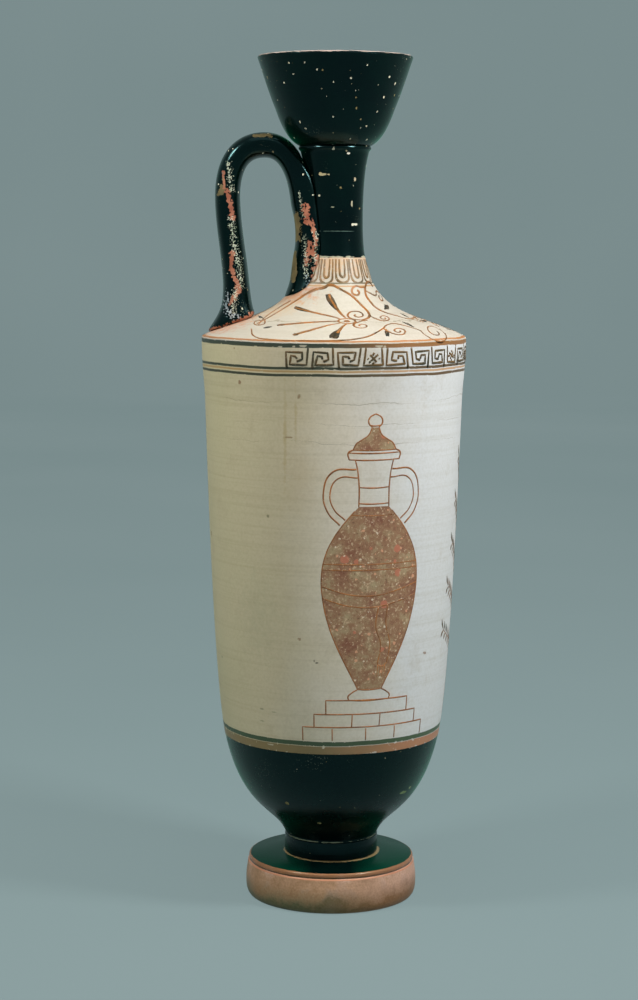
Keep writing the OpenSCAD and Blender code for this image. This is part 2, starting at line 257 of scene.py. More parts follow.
# %% [markdown]
# The handle is where hands and soil wore the flask most. Four marks say where: bare clay, olive
# stains, pale crust, and pale bluish patches at the roots that are partly haze and partly painted
# highlight. Each is an attribute that is painted on patch by patch. A patch has its side, its half
# width and a short path of points across and up, in millimetres.

# %% Worn places on the handle
FRONT, BACK = True, False


def mark_wear_and_highlight(piece, name, patches):
    """Writes 1 on a patch's middle line, falling to 0 at twice its half width. y picks the side."""
    mark = piece.data.attributes.new(name, "FLOAT", "POINT")
    for i, v in enumerate(piece.data.vertices):
        x, y, z = (c / MM for c in v.co)
        best = 0.0
        for side, half_w, path in patches:
            if (y < 0) != side:
                continue
            for (ax, az), (bx, bz) in zip(path, path[1:]):
                run = (bx - ax) ** 2 + (bz - az) ** 2
                t = max(0, min(1, ((x - ax) * (bx - ax) + (z - az) * (bz - az)) / run))
                gap = math.hypot(x - ax - t * (bx - ax), z - az - t * (bz - az))
                best = max(best, 1 - 0.5 * gap / half_w)
        mark.data[i].value = best


root_edge = [(-54.5, 243.6), (-45, 246.4), (-34.8, 251.4)]
mark_wear_and_highlight(strap, "clay", [
    (FRONT, 1.2, [(-45.2, 303.5), (-43.8, 298), (-42.4, 292)]),
    (FRONT, 0.6, [(-46.6, 311.6), (-46.4, 304.5)]),
    (FRONT, 1.2, [(-42.8, 277.5), (-43.3, 270.8), (-41.3, 266.3), (-39.9, 262.4), (-41.8, 259),
                  (-43.5, 256.8)]),
    (FRONT, 1.9, [(-12.3, 297), (-11.6, 291.4)]), (FRONT, 1.0, [(-9.3, 290), (-7.8, 283.3), (-9, 277)]),
    (FRONT, 1.2, [(-10.5, 282), (-11.7, 273.4)]), (FRONT, 1.5, [(-7, 276), (-8.4, 265)]),
    (FRONT, 1.7, root_edge), (BACK, 1.9, root_edge), (BACK, 1.5, [(-46, 284), (-44, 270), (-46, 262)]),
    (BACK, 1.6, [(-10, 289), (-12, 276)]), (BACK, 1.0, [(-22, 325), (-30, 326)])])
mark_wear_and_highlight(strap, "olive", [
    (FRONT, 1.3, [(-48.6, 303), (-47, 304.6)]), (FRONT, 1.5, [(-16, 293), (-15.8, 284)]),
    (FRONT, 1.0, [(-16.8, 277.5), (-17.4, 266.3)]), (FRONT, 0.9, [(-34, 326.5), (-27, 326.8)]),
    (BACK, 1.6, [(-47, 300), (-46, 291)]), (BACK, 1.2, [(-17, 280), (-18, 268)])])
mark_wear_and_highlight(strap, "crust", [
    (FRONT, 2.2, [(-43.6, 292), (-42, 281), (-40.4, 274.7), (-39.2, 264)]),
    (FRONT, 1.6, [(-12.6, 284.5), (-11.8, 268)]), (FRONT, 1.9, [(-44.6, 315), (-43.2, 304)]),
    (FRONT, 1.4, [(-7.6, 286), (-8.6, 262)]), (FRONT, 1.0, [(-15, 303), (-13, 292)]),
    (FRONT, 2.0, [(-41.6, 262), (-42.6, 252)]), (BACK, 2.0, [(-43, 300), (-41, 282), (-41, 260)]),
    (BACK, 1.6, [(-9, 290), (-10, 262)])])
# Pale bluish patches at the roots: partly haze, partly painted highlight
mark_wear_and_highlight(strap, "haze", [
    (FRONT, 2.4, [(-46, 257), (-44, 251.5), (-40, 251.5)]), (FRONT, 1.2, [(-45, 262), (-44.5, 257)]),
    (FRONT, 1.2, [(-11.6, 270), (-11, 261)]), (BACK, 1.8, [(-46, 256), (-44, 251)])])
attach(strap, "root")
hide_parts("handle")
print("handle faces:", len(strap.data.polygons))

# %% [markdown]
# ## The painter's lines
# The drawing is done with dilute slip and a very fine brush, or a single hair. Each line stands a
# little proud of the ground: a relief line. Here a stroke is a curve with a round section that
# swells and thins as the brush does. The strokes are laid out flat in millimetres, made a mesh,
# pressed to less than 0.1 mm and wrapped on the pot along its own outline. A stroke is its points,
# its widths as shares of the brush's, and the word CORNER where it turns sharply at each point.

# %% Lay out strokes flat
CORNER = "corner"
KEY_BRUSH, FINE_BRUSH, FULL_BRUSH, TONGUE_BRUSH = 0.92, 0.95, 1.4, 0.8
JAR_BRUSH, TREE_BRUSH, LEAF_BRUSH = 0.62, 0.8, 1.1
LINE_PROUD, DROP_PROUD, LEAF_PROUD, WASH_LIFT = 0.07, 0.09, 0.08, 0.03
KNOT_STEP_MM, FEWEST, MOST = 0.9, 5, 48


def in_short_steps(points, swells, step=1.2):
    """A straight stretch of a curve has no points between its ends, and would cut into a round wall."""
    near, widths = [points[0]], [swells[0]]
    for a, b, wide_a, wide_b in zip(points, points[1:], swells, swells[1:]):
        count = max(1, math.ceil(math.dist(a, b) / step))
        for i in range(1, count + 1):
            t = i / count
            near.append((a[0] + t * (b[0] - a[0]), a[1] + t * (b[1] - a[1])))
            widths.append(wide_a + t * (wide_b - wide_a))
    return near, widths


def lay_strokes(name, strokes, width):
    sheet = bpy.data.curves.new(name, "CURVE")
    sheet.dimensions = "3D"
    sheet.bevel_depth = width / 2 * MM
    sheet.bevel_resolution = 1
    sheet.use_fill_caps = True
    for points, swell, *corner in strokes:
        swells = [swell[min(i, len(swell) - 1)] for i in range(len(points))]
        if corner:
            points, swells = in_short_steps(points, swells)
        spline = sheet.splines.new("BEZIER")
        longest = max(math.dist(a, b) for a, b in zip(points, points[1:]))
        spline.resolution_u = max(FEWEST, min(MOST, round(longest / KNOT_STEP_MM)))
        spline.bezier_points.add(len(points) - 1)
        for knot, (x, y), radius in zip(spline.bezier_points, points, swells):
            knot.co = (x * MM, y * MM, 0)
            knot.radius = radius
            knot.handle_left_type = knot.handle_right_type = "VECTOR" if corner else "AUTO"
    piece = bpy.data.objects.new(name, sheet)
    bpy.context.scene.collection.objects.link(piece)
    take_up(piece)
    bpy.ops.object.convert(target="MESH")
    return bpy.context.object


# %% Wrap a flat layout on the pot
def along(line):
    run = [0.0]
    for a, b in zip(line, line[1:]):
        run.append(run[-1] + math.dist(a, b))
    return run


def point_on(line, run, s):
    i = 0
    while i < len(line) - 2 and run[i + 1] < s:
        i += 1
    a, b = line[i], line[i + 1]
    length = math.dist(a, b)
    t = (s - run[i]) / length
    out = ((b[1] - a[1]) / length, (a[0] - b[0]) / length)
    return (a[0] + t * (b[0] - a[0]), a[1] + t * (b[1] - a[1])), out


def wrap_on_pot(piece, line, centre=0, start=0, proud=LINE_PROUD, lift=0, even_r=None):
    """The layout's middle comes to `centre` degrees, and its foot to `start` mm along the line."""
    run = along(line)
    thick = max(abs(v.co.z) for v in piece.data.vertices) or MM
    for v in piece.data.vertices:
        x, y, h = v.co.x / MM, v.co.y / MM, v.co.z / thick * proud + lift
        (r, z), out = point_on(line, run, start + y)
        turn = math.radians(centre) + x / (even_r or r)
        r, z = r + h * out[0], z + h * out[1]
        v.co = Vector((r * math.cos(turn), r * math.sin(turn), z)) * MM
    piece.data.update()
    take_up(piece)
    bpy.ops.object.mode_set(mode="EDIT")
    bpy.ops.mesh.select_all(action="SELECT")
    bpy.ops.mesh.remove_doubles(threshold=1e-7)
    bpy.ops.mesh.normals_make_consistent(inside=False)
    bpy.ops.object.mode_set(mode="OBJECT")
    bpy.ops.object.shade_smooth()
    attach(piece, "root")
    print(piece.name, "faces:", len(piece.data.polygons))
    return piece


# %% [markdown]
# ## Key pattern
# Under the shoulder runs a key pattern, three hooked units and then a square with a cross, all
# drawn freehand between two bars, so no two are quite alike. It covers the front and leaves the
# part under the handle bare. Each unit is two lines hooked into each other: one stands on the
# lower border, the other hangs from the upper one. Beyond every square the units turn round.

# %% Key band
KEY_LOW, KEY_HIGH = 233.5, 238.7
KEY_START, UNIT_W, UNIT_GAP, SQUARE_W, BLOCKS = -20.5, 9.2, 2.1, 7.6, 5
standing = [(0, -0.28), (0.02, 1), (0.78, 0.98), (0.74, 0.42), (0.56, 0.3)]
hanging = [(1, 1.35), (0.98, 0.02), (0.2, 0.04), (0.21, 0.7), (0.5, 0.68), (0.48, 0.45)]
square = [[(0.02, 1.35), (0, 0.02), (1, 0), (0.98, 1.35)], [(0.25, 0.78), (0.72, 0.28)],
          [(0.7, 0.8), (0.3, 0.24)], [(0.48, 0.95), (0.5, 0.78)], [(0.5, 0.22), (0.48, 0.08)],
          [(0.12, 0.5), (0.26, 0.5)], [(0.76, 0.52), (0.9, 0.5)]]
key_strokes = []
place = KEY_START
for block in range(BLOCKS):
    turned = block % 2 == 1
    for item in range(4 if block < BLOCKS - 1 else 3):
        hooked = item < 3
        wide = UNIT_W + 0.8 * math.sin(2.3 * place) if hooked else SQUARE_W
        for shape in [standing, hanging] if hooked else square:
            points = []
            for k, (x, y) in enumerate(shape):
                x = 1 - x if turned and hooked else x
                drift = 0.05 * math.sin(5.1 * place + 3.7 * k)
                angle = place + wide * (x + drift) - 90
                points.append((math.radians(angle) * WALL_R,
                               KEY_LOW + (KEY_HIGH - KEY_LOW) * (y + 0.6 * drift)))
            key_strokes.append((points, [1, 0.85, 1.1, 0.9, 1], CORNER))
        place += wide + UNIT_GAP
print("key pattern ends at", round(place, 1), "degrees")
key_band = lay_strokes("key_band", key_strokes, KEY_BRUSH)

# %% [markdown]
# ## Palmettes on the shoulder
# A palmette is a fan of petals that springs from two small volutes inside a tendril. Each petal is
# pulled in one stroke that starts as a hair and ends in a fat drop. Three palmettes lie on the
# shoulder, joined by scrolls. Places are in millimetres from the palmette's heart, to the right
# along the shoulder and up the slope.

# %% Strokes of the shoulder
slope_run = along(slope_line)
HEART_S, HEART_TURN, WOUND_IN = 20.4, 8.1, 0.82


def seen(turn, r):
    """A place on the slope, given by its turn from the view and its radius, as seen from the heart."""
    i = min(range(len(slope_line)), key=lambda k: abs(slope_line[k][0] - r))
    return (math.radians(turn - HEART_TURN) * r, slope_run[i] - HEART_S)


def spiral(centre, start, turns, steps=9):
    """Points from the start round the centre, drawing in evenly. Turns below 0 go clockwise."""
    reach = math.dist(centre, start)
    first = math.atan2(start[1] - centre[1], start[0] - centre[0])
    points = []
    for i in range(steps + 1):
        r, angle = reach * (1 - WOUND_IN * i / steps), first + 2 * math.pi * turns * i / steps
        points.append((centre[0] + r * math.cos(angle), centre[1] + r * math.sin(angle)))
    return points


def ring_of(centre, wide, high, points=10):
    return [(centre[0] + wide * math.cos(2 * math.pi * i / points),
             centre[1] + high * math.sin(2 * math.pi * i / points)) for i in range(points + 1)]


petals = [
    [(0, 3.6), (-0.8, 5.5), (-3.4, 14.2), (-5.1, 20.4)],
    [(-2.6, 2.2), (-3.4, 3.3), (-14, 8.9), (-21.3, 11.9)],
    [(-3.4, 0), (-4.6, 0), (-18, -2.2), (-30.6, -5.7)],
    [(-2.8, -2), (-8.1, -4.6), (-16, -10), (-24.3, -15.4)],
    [(-0.8, -3.2), (-2.5, -5.7), (-5.4, -12), (-8, -17.9)],
]
lines = [
    (ring_of((0, 0), 3.6, 2.7), [1]),
    (ring_of((0, 0), 0.8, 0.7, 6), [1.1]),
    ([seen(-50, 42), seen(-53.5, 34), seen(-54, 27.6), seen(-44, 21.4), seen(-27, 18.4),
      seen(-14, 17.2), (-4.3, 25), (0, 22.9), (4.8, 19.3), (8.3, 14), (10.6, 8.7), (10.3, 4.4),
      (8.3, 2.2)] + spiral((5.2, 6.2), (5.6, 1.4), -1.35),
     [0.9, 1.1, 1, 1.1, 1.3, 1.4, 1.3, 1.2, 1.2, 1.3, 1.3, 1.4, 1.2, 1, 1, 0.9]),
    ([seen(-47, 43), seen(-58, 34), seen(-62, 27), seen(-56, 22)], [0.7, 1, 1, 0.7]),
    ([(9, 1.1), (5.4, -0.4)] + spiral((5.4, -5), (2.3, -3.6), 1.2), [1.1, 1, 1.2, 1.2, 1, 0.8]),
    ([(10.6, 5.5), (13.3, 2.2)] + spiral((17.3, 3.0), (16.4, 0), 1.4), [0.8, 1, 1.1, 1, 0.8]),
    ([(54, 6), (43, 2.2), (32.4, 1.4), (26.4, 4.4), (20.5, 7.7), (16.5, 10.8), (13.3, 16.1),
      (11.7, 20.4), (12.3, 23.8), (15.5, 26.6), (19, 24)], [0.6, 0.8, 0.9, 1, 1, 1.2, 1.3, 1.2]),
    ([(12.2, 22), (15, 20.6)] + spiral((22.2, 18.4), (18.6, 19.5), -1.2), [0.7, 0.9, 1, 1]),
    ([(12.3, 23.9)] + spiral((7.2, 21.6), (9.4, 23.8), 1.1), [0.7, 0.9, 1, 1.1]),
    ([(-45, -10.5), (-42.6, -17.4), (-33.7, -19.6), (-18, -19.8), (-5, -19.3), (2.4, -17.9),
      (7.3, -15.4), (11.3, -11.7), (14.5, -8.1), (16.9, -4.6), (20.8, -3.4), (25.6, -5.7),
      (29, -8.1), (33.2, -12)] + spiral((43, -13.6), (34.2, -15.6), 1.5),
     [0.8, 1, 1.1, 1.1, 1.2, 1.2, 1.1, 1, 1, 0.9]),
    ([(14.4, -8.2), (16, -11.4)] + spiral((21.2, -11.2), (18.2, -13.9), 1.4), [1, 1.1, 1.1, 1]),
    ([(-40.3, 1.5), (-37.6, -3.4)] + spiral((-42, -3.2), (-39, -5.6), -1.1), [0.7, 1, 1, 0.9]),
] + [(petal, [0.8, 1.2, 1.7, 1.5]) for petal in petals]
drops = [
    ([(-2.7, 10.4), (-3.7, 14.2), (-4.7, 17.6), (-5.4, 20.4)], [0.8, 2.0, 2.3, 1.6]),
    ([(-13.2, 8.6), (-16.6, 10), (-19.4, 11.2), (-21.6, 12)], [0.8, 1.7, 1.9, 1.3]),
    ([(-25.4, -4.2), (-28.4, -4.9), (-31, -5.8)], [0.7, 1.5, 0.8]),
    ([(-33.7, -7.4), (-36, -8.4), (-38.1, -9.3)], [0.7, 1.3, 0.6]),
    ([(-21.4, -13.6), (-22.9, -14.6), (-24.3, -15.4)], [0.3, 1.5, 0.7]),
    ([(-4.6, -9.6), (-6.3, -13), (-7.5, -16), (-8.1, -17.8)], [0.9, 2.3, 2.9, 2.2]),
    ([(20.2, 10.6), (22.9, 12.1), (25.4, 13.2)], [0.4, 2.6, 0.7]),
    ([(30.5, 6.6), (32.6, 5), (34.5, 2.4)], [0.3, 1.3, 0.6]),
    ([(26.3, -1.6), (28.4, -4.2), (31, -8)], [0.5, 1.3, 0.6]),
    ([(15.4, -9.2), (15.3, -12.6), (14.9, -16.2)], [0.4, 1.5, 1.1]),
    ([(-46.5, 3.2), (-43.6, 2.2), (-40.8, 1.8)], [0.5, 1.2, 0.5]),
]
print("strokes on one side of the shoulder:", len(lines) + len(drops))


# %% Palmettes, once for the side that faces the view and once mirrored
def mirrored(strokes):
    return [([(-x, y) for x, y in points], *rest) for points, *rest in strokes]


def paint_palmette(place, fine, full, turn):
    drawn = lay_strokes("palmette_lines_" + place, fine, FINE_BRUSH)
    drawn = wrap_on_pot(drawn, slope_line, turn, HEART_S)
    dropped = lay_strokes("palmette_drops_" + place, full, FULL_BRUSH)
    return [drawn, wrap_on_pot(dropped, slope_line, turn, HEART_S, DROP_PROUD)]


palmettes = paint_palmette("left", lines, drops, HEART_TURN - 90)
palmettes += paint_palmette("right", mirrored(lines), mirrored(drops), 90 - HEART_TURN)

# %% [markdown]
# Between the two, over the painted front, hangs a smaller palmette of seven petals with a scroll
# on each side. Its petals are worked out from their lean, and every second one ends in a drop.

# %% Small palmette at the front
front_lines = [(ring_of((0, -1.5), 2.5, 1.8), [1]), (ring_of((0, -1.5), 0.7, 0.6, 6), [1.1])]
front_drops = []
for i, lean in enumerate((-78, -52, -26, 0, 26, 52, 78)):
    across, down = math.sin(math.radians(lean)), -math.cos(math.radians(lean))
    long = (12, 14.4, 15.4, 15.8)[3 - abs(i - 3)] + 0.5 * math.sin(2.7 * i)
    petal = [(share * long * across, share * long * down - 1.5 + 1.4 * share * share * abs(across))
             for share in (0.22, 0.5, 0.8, 1)]
    front_lines.append((petal, [0.8, 1.1, 1.6, 1.4]))
    if i % 2 == 0:
        front_drops.append((petal[1:], [0.6, 2.1, 1.8]))
for side in (1, -1):
    front_lines.append(([(0, 0.4), (4 * side, 2.2), (9 * side, 0.8)]
                        + spiral((14 * side, -1.6), (11 * side, -0.2), -1.2 * side),
                        [0.8, 1.1, 1.1, 1, 0.8]))
palmettes += paint_palmette("front", front_lines, front_drops, 0)

# %% [markdown]
# ## Tongues round the collar
# The collar between shoulder and neck carries a ring of tongues: narrow U-shapes that hang from the
# neck, each with a short stroke inside, closed below by a line.

# %% Tongues
TONGUES, COLLAR_R, TONGUE_TOP = 14, 15, 11
tongue_strokes = []
for i in range(TONGUES):
    middle = math.radians(360 / TONGUES * i) * COLLAR_R
    half = 2.75 + 0.2 * math.sin(4.3 * i)
    sink = 0.3 * math.sin(2.9 * i)
    outer = [(-half, TONGUE_TOP), (-half, 5), (-0.8 * half, 2 + sink), (-0.3 * half, 0.9 + sink),
             (0.4 * half, 0.9 + sink), (0.85 * half, 1.9 + sink), (half, 5), (half, TONGUE_TOP)]
    inner = [(-1.15, TONGUE_TOP), (-1.1, 6.4), (-0.5, 3.4 + sink), (0.4, 3.2 + sink), (1.1, 6),
             (1.2, TONGUE_TOP)]
    for shape, swell in ((outer, [1.2, 1, 1.3, 1.4, 1.3, 1.1, 1]), (inner, [1, 1.1, 1.4, 1.3, 1.1, 0.9])):
        tongue_strokes.append(([(middle + x, y) for x, y in shape], swell))
tongues = lay_strokes("collar_tongues", tongue_strokes, TONGUE_BRUSH)
tongues = wrap_on_pot(tongues, collar_line, even_r=COLLAR_R)
key_band = wrap_on_pot(key_band, [(WALL_R, 230), (WALL_R, 242)], start=-230, even_r=WALL_R)

# %% [markdown]
# ## Picture on the wall
# The wall carries a picture in dilute outline and matt wash: a lidded storage jar on a stepped
# plinth, tied with a sash, to the left and right of the front, and an olive tree between the two.
# Wash is laid first, here as a very thin sheet shaped from a grid, and the outlines go over it.
# Places are in millimetres: across the picture, and up from the ground that the flask stands on.

# %% Wash
def lay_wash(name, half_outline, columns=22):
    """A thin sheet whose rows are as wide as the outline, given as (half width, height)."""
    bpy.ops.object.select_all(action="DESELECT")
    rows = len(half_outline) - 1
    bpy.ops.mesh.primitive_grid_add(x_subdivisions=columns, y_subdivisions=rows, size=2)
    sheet = bpy.context.object
    sheet.name = name
    for v in sheet.data.vertices:
        half_w, height = half_outline[round((v.co.y + 1) / 2 * rows)]
        v.co = Vector((half_w * v.co.x, height - WALL_FOOT, 0)) * MM
    return sheet


def wall_strokes(strokes):
    return [([(x, z - WALL_FOOT) for x, z in points], *rest) for points, *rest in strokes]


# %% Jar, plinth and sash
jar_body = (rib_line((5.6, 99.6), (22, 146), (0.35, 0.25), (1, 0.55), 24)
            + rib_line((22, 146), (6.6, 176), (0, 0.5), (0.75, 0.85), 18)[1:])
jar_lid = rib_line((9.2, 199.4), (1.4, 208.5), (0.1, 0.5), (0.9, 0.4), 8)
jar_outlines = [[(9.5, 95), (10, 96.5), (8.5, 98), (5.6, 99.6)], jar_body[::4],
                rib_line((6.6, 176), (8.2, 195), (-0.3, 0.4), (0.2, 0.8), 8)[::2],
                [(10.8, 195.4), (11.2, 198.2), (9.2, 199.4)], jar_lid[::2],
                [(1.4, 208.5), (2.9, 210.4), (2.4, 212.6), (0, 214)]]
jar_strokes = [([(side * r, z) for r, z in outline], [0.9, 1.1, 1, 0.9])
               for outline in jar_outlines for side in (1, -1)]
for half_w, z in ((9.5, 95), (5.6, 99.6), (21.9, 150), (21.6, 152.4), (9.8, 172.6), (6.8, 177.4),
                  (6.2, 184), (10.8, 195.4), (11.2, 198.2), (9.2, 199.4), (2.4, 209.4)):
    jar_strokes.append(([(-half_w, z), (-0.4 * half_w, z - 0.3), (0.5 * half_w, z - 0.25), (half_w, z)],
                        [0.8, 1.1, 0.9]))
ear = [([(14.4, 168.5), (19.5, 174), (21.2, 182), (17.4, 190.4), (7.8, 191.4)], [1.2, 1, 1, 1.2]),
       ([(12.2, 170.6), (16.9, 175.2), (18.5, 181.4), (15.4, 187.6), (7.1, 188)], [1, 0.9, 0.9, 1])]
jar_strokes += ear + mirrored(ear)
for half_w, z in ((20, 89), (25.5, 83), (31, 77.4)):
    jar_strokes.append(([(-half_w, z), (-half_w, z + 6), (half_w, z + 5.9), (half_w, z)],
                        [1, 0.9, 1], CORNER))
jar_strokes += [([(x, 83.2), (x + 0.2, 88.8)], [0.9], CORNER) for x in (-8, 5.5)]
jar_strokes += [([(x, 77.6), (x - 0.1, 82.8)], [0.9], CORNER) for x in (-17, -1, 14)]
sash = [([(-21.9, 143), (-10, 139.6), (2, 139), (12, 140.8), (22, 143.4)], [1.2, 1, 1.1]),
        ([(-21.4, 138), (-10, 134.8), (2, 134.2), (12, 136), (21.6, 138.6)], [1.1, 1, 1.1]),
        ([(3, 134.2), (2, 126), (4.6, 118), (3.2, 110)], [1.1, 1, 1.1]),
        ([(7.4, 134.9), (6.8, 126.4), (9, 118.6), (7.8, 110.4)], [1.1, 1, 1.1]),
        ([(3.2, 110), (5.4, 109), (7.8, 110.4)], [1])]
sash += [([(3.6 + 1.1 * i, 109.6), (3.2 + 1.2 * i, 104.6)], [1, 0.6]) for i in range(4)]
print("strokes in a jar:", len(jar_strokes) + len(sash))

# %% [markdown]
# The olive tree grows from the ground line between the two jars. Its leaves are one drop of the
# brush each, two at each joint of a twig.

# %% Tree
TWIGS, JOINTS = 9, 6
tree_strokes = [([(-1.6, 77.4), (-2.6, 92), (-0.4, 108), (-2, 126), (0.2, 146), (-0.6, 166), (0.6, 186)],
                 [1.6, 1.3, 1.2, 1, 0.9, 0.7, 0.5]),
                ([(2.2, 77.4), (1.6, 90), (3.2, 106), (1.2, 124), (1.6, 142)], [1.5, 1.2, 1.1, 0.9, 0.6])]
leaf_strokes = []
for i in range(TWIGS):
    side = 1 if i % 2 else -1
    foot_z = 108 + 8.6 * i
    reach, rise = 21 - 1.5 * i, 13 + 0.6 * i
    tree_strokes.append(([(0.4, foot_z), (0.36 * side * reach, foot_z + 0.42 * rise),
                          (0.72 * side * reach, foot_z + 0.66 * rise), (side * reach, foot_z + 0.9 * rise)],
                         [1, 0.8, 0.6]))
    for k in range(JOINTS):
        share = (k + 1) / JOINTS
        x = side * reach * share
        z = foot_z + rise * (1.2 * share - 0.3 * share * share)
        lean = side * (1.7 + 0.3 * math.sin(3.1 * (i + k)))
        for lift in (1, -1):
            leaf_strokes.append(([(x, z + 0.2 * lift), (x + lean, z + 2.2 * lift + 0.6),
                                  (x + 1.5 * lean, z + 3.9 * lift + 1)], [0.4, 1.5, 0.4]))
print("leaves:", len(leaf_strokes))

# %% Put the picture on the wall
PICTURE_R, JAR_TURN = 54, 72


def put_on_wall(layout, turn=0, proud=LINE_PROUD, lift=0):
    return wrap_on_pot(layout, wall_line, turn, 0, proud, lift, PICTURE_R)


picture, washes = [], []
for side, turn in (("left", -JAR_TURN), ("right", JAR_TURN)):
    for part, outline in (("jar", jar_body), ("lid", jar_lid)):
        washes.append(put_on_wall(lay_wash(part + "_wash_" + side, outline), turn, 0, WASH_LIFT))
    drawing = wall_strokes(jar_strokes + sash)
    drawing = mirrored(drawing) if side == "right" else drawing
    picture.append(put_on_wall(lay_strokes("jar_lines_" + side, drawing, JAR_BRUSH), turn))
picture.append(put_on_wall(lay_strokes("tree_lines", wall_strokes(tree_strokes), TREE_BRUSH)))
leaves = lay_strokes("olive_leaves", wall_strokes(leaf_strokes), LEAF_BRUSH)
leaves = put_on_wall(leaves, proud=LEAF_PROUD)

# %% [markdown]
# ## How a finish is built
# A finish is a small tree of nodes: patterns read the object's own coordinates, in metres, so a
# pattern of a real size of n millimetres has a scale of about 1000 / n. One helper adds a node, sets
# it and links it. Colours are written as sRGB hex values and turned to linear light once.

# %% Nodes and colours
def hex_to_linear(code):
    parts = [int(code[i:i + 2], 16) / 255 for i in (1, 3, 5)]
    return tuple(c / 12.92 if c <= 0.04045 else ((c + 0.055) / 1.055) ** 2.4 for c in parts) + (1,)


def add_node(tree, kind, settings=None, links=None):
    """Settings are properties, inputs by name or number, and the stops of a colour ramp."""
    node = tree.nodes.new("ShaderNode" + kind)

    def socket(key):
        return node.inputs[key] if isinstance(key, int) else \
            next(s for s in node.inputs if s.enabled and s.name == key)

    for key, value in (settings or {}).items():
        if key == "stops":
            elements = node.color_ramp.elements
            for i, (place, tint) in enumerate(value):
                stop = elements[i] if i < 2 else elements.new(place)
                stop.position, stop.color = place, hex_to_linear(tint)
        elif isinstance(key, str) and key in node.bl_rna.properties:
            setattr(node, key, value)
        else:
            socket(key).default_value = hex_to_linear(value) if isinstance(value, str) else value
    for key, source in (links or {}).items():
        out = source if isinstance(source, bpy.types.NodeSocket) else \
            next(s for s in source.outputs if s.enabled)
        tree.links.new(out, socket(key))
    return node


def new_finish(name):
    """A material with an empty tree, the helper bound to that tree, and the object's coordinates."""
    finish = bpy.data.materials.new(name)
    finish.use_nodes = True
    finish.node_tree.nodes.clear()
    add = partial(add_node, finish.node_tree)
    return finish, add, add("TexCoord").outputs["Object"]


def fired(add, colour, relief, strength, depth_mm, settings, links):
    """The end of every finish: relief as bump, the shader and the output."""
    bump = add("Bump", {"Strength": strength, "Distance": depth_mm * MM}, {"Height": relief})
    skin = add("BsdfPrincipled", settings, {"Base Color": colour, "Normal": bump, **links})
    add("OutputMaterial", {}, {"Surface": skin})


# %% [markdown]
# Some marks come back in several finishes, so each has a function: a tint laid over a colour, the
# highest of several masks, a shade in the hollows of a grain, clouds within a range, the rings of
# the wheel, spots in a few cells, a line drawn round the pot, and a ragged worn place.

# %% Marks that finishes share
def layered(add, colour, mask, tint, strength=None):
    if strength is not None:
        mask = add("Math", {"operation": "MULTIPLY", 1: strength}, {0: mask})
    if isinstance(tint, str):
        return add("MixRGB", {"Color2": tint}, {"Fac": mask, "Color1": colour})
    return add("MixRGB", {}, {"Fac": mask, "Color1": colour, "Color2": tint})


def any_of(add, masks):
    highest = masks[0]
    for mask in masks[1:]:
        highest = add("Math", {"operation": "MAXIMUM"}, {0: highest, 1: mask})
    return highest


def shaded(add, colour, grain, low, high, dark, share):
    tone = add("ValToRGB", {"stops": [(low, dark), (high, "#FFFFFF")]}, {"Fac": grain})
    return add("MixRGB", {"blend_type": "MULTIPLY", "Fac": share}, {"Color1": colour, "Color2": tone})


def cloud_between(add, place, size_mm, detail, rough, low, high, least, most):
    """Noise of a real size: it gives `least` where the noise is at `low`, and `most` at `high`."""
    noise = add("TexNoise", {"Scale": 1000 / size_mm, "Detail": detail, "Roughness": rough},
                {"Vector": place})
    return add("MapRange", {1: low, 2: high, 3: least, 4: most}, {0: noise})


def wheel_rings(add, place, across, ring_mm, detail, rough=0.5):
    drawn_out = add("Mapping", {"Scale": (across, across, 1000 / ring_mm)}, {"Vector": place})
    return add("TexNoise", {"Scale": 1, "Detail": detail, "Roughness": rough}, {"Vector": drawn_out})


def few_spots(add, place, cell_mm, left_out, small, large, torn=None):
    """Spots in those cells whose lot is above `left_out`, with the lot that picks a spot's tint."""
    cells = add("TexVoronoi", {"Scale": 1000 / cell_mm}, {"Vector": place})
    lot = add("SeparateColor", {}, {"Color": cells.outputs["Color"]})
    size = add("MapRange", {1: left_out, 2: 1.0, 3: small, 4: large}, {0: lot.outputs["Red"]})
    if torn:
        size = add("Math", {"operation": "MULTIPLY"}, {0: size, 1: torn})
    spot = add("Math", {"operation": "LESS_THAN"}, {0: cells.outputs["Distance"], 1: size})
    return spot, lot.outputs["Green"]


def drawn_round(add, height, low, high, worn=None, gone=0.0, whole=0.0):
    """1 from low to high, in mm. It narrows where the noise `worn` falls from `whole` to `gone`."""
    half = (high - low) / 2 * MM
    off = add("Math", {"operation": "SUBTRACT", 1: (low + high) / 2 * MM}, {0: height})
    off = add("Math", {"operation": "ABSOLUTE"}, {0: off})
    if worn is None:
        return add("Math", {"operation": "LESS_THAN", 1: half}, {0: off})
    reach = add("MapRange", {1: gone, 2: whole, 3: 0.0, 4: half}, {0: worn})
    return add("Math", {"operation": "LESS_THAN"}, {0: off, 1: reach})


def worn_place(add, place, torn, centre, half, soft, strength=1.0):
    """A ragged egg-shaped spot: 1 inside and 0 outside, with its middle and half sizes in mm."""
    moved = add("Mapping", {"Location": tuple(-c / h for c, h in zip(centre, half)),
                            "Scale": tuple(1 / (h * MM) for h in half)}, {"Vector": place})
    reach = add("VectorMath", {"operation": "LENGTH"}, {0: moved}).outputs["Value"]
    rough_edge = add("MapRange", {1: 0.25, 2: 0.75, 3: 0.45, 4: 1.55}, {0: torn})
    inside = add("Math", {"operation": "SUBTRACT"}, {0: rough_edge, 1: reach})
    return add("MapRange", {1: 0.0, 2: soft, 3: 0.0, 4: strength}, {0: inside})
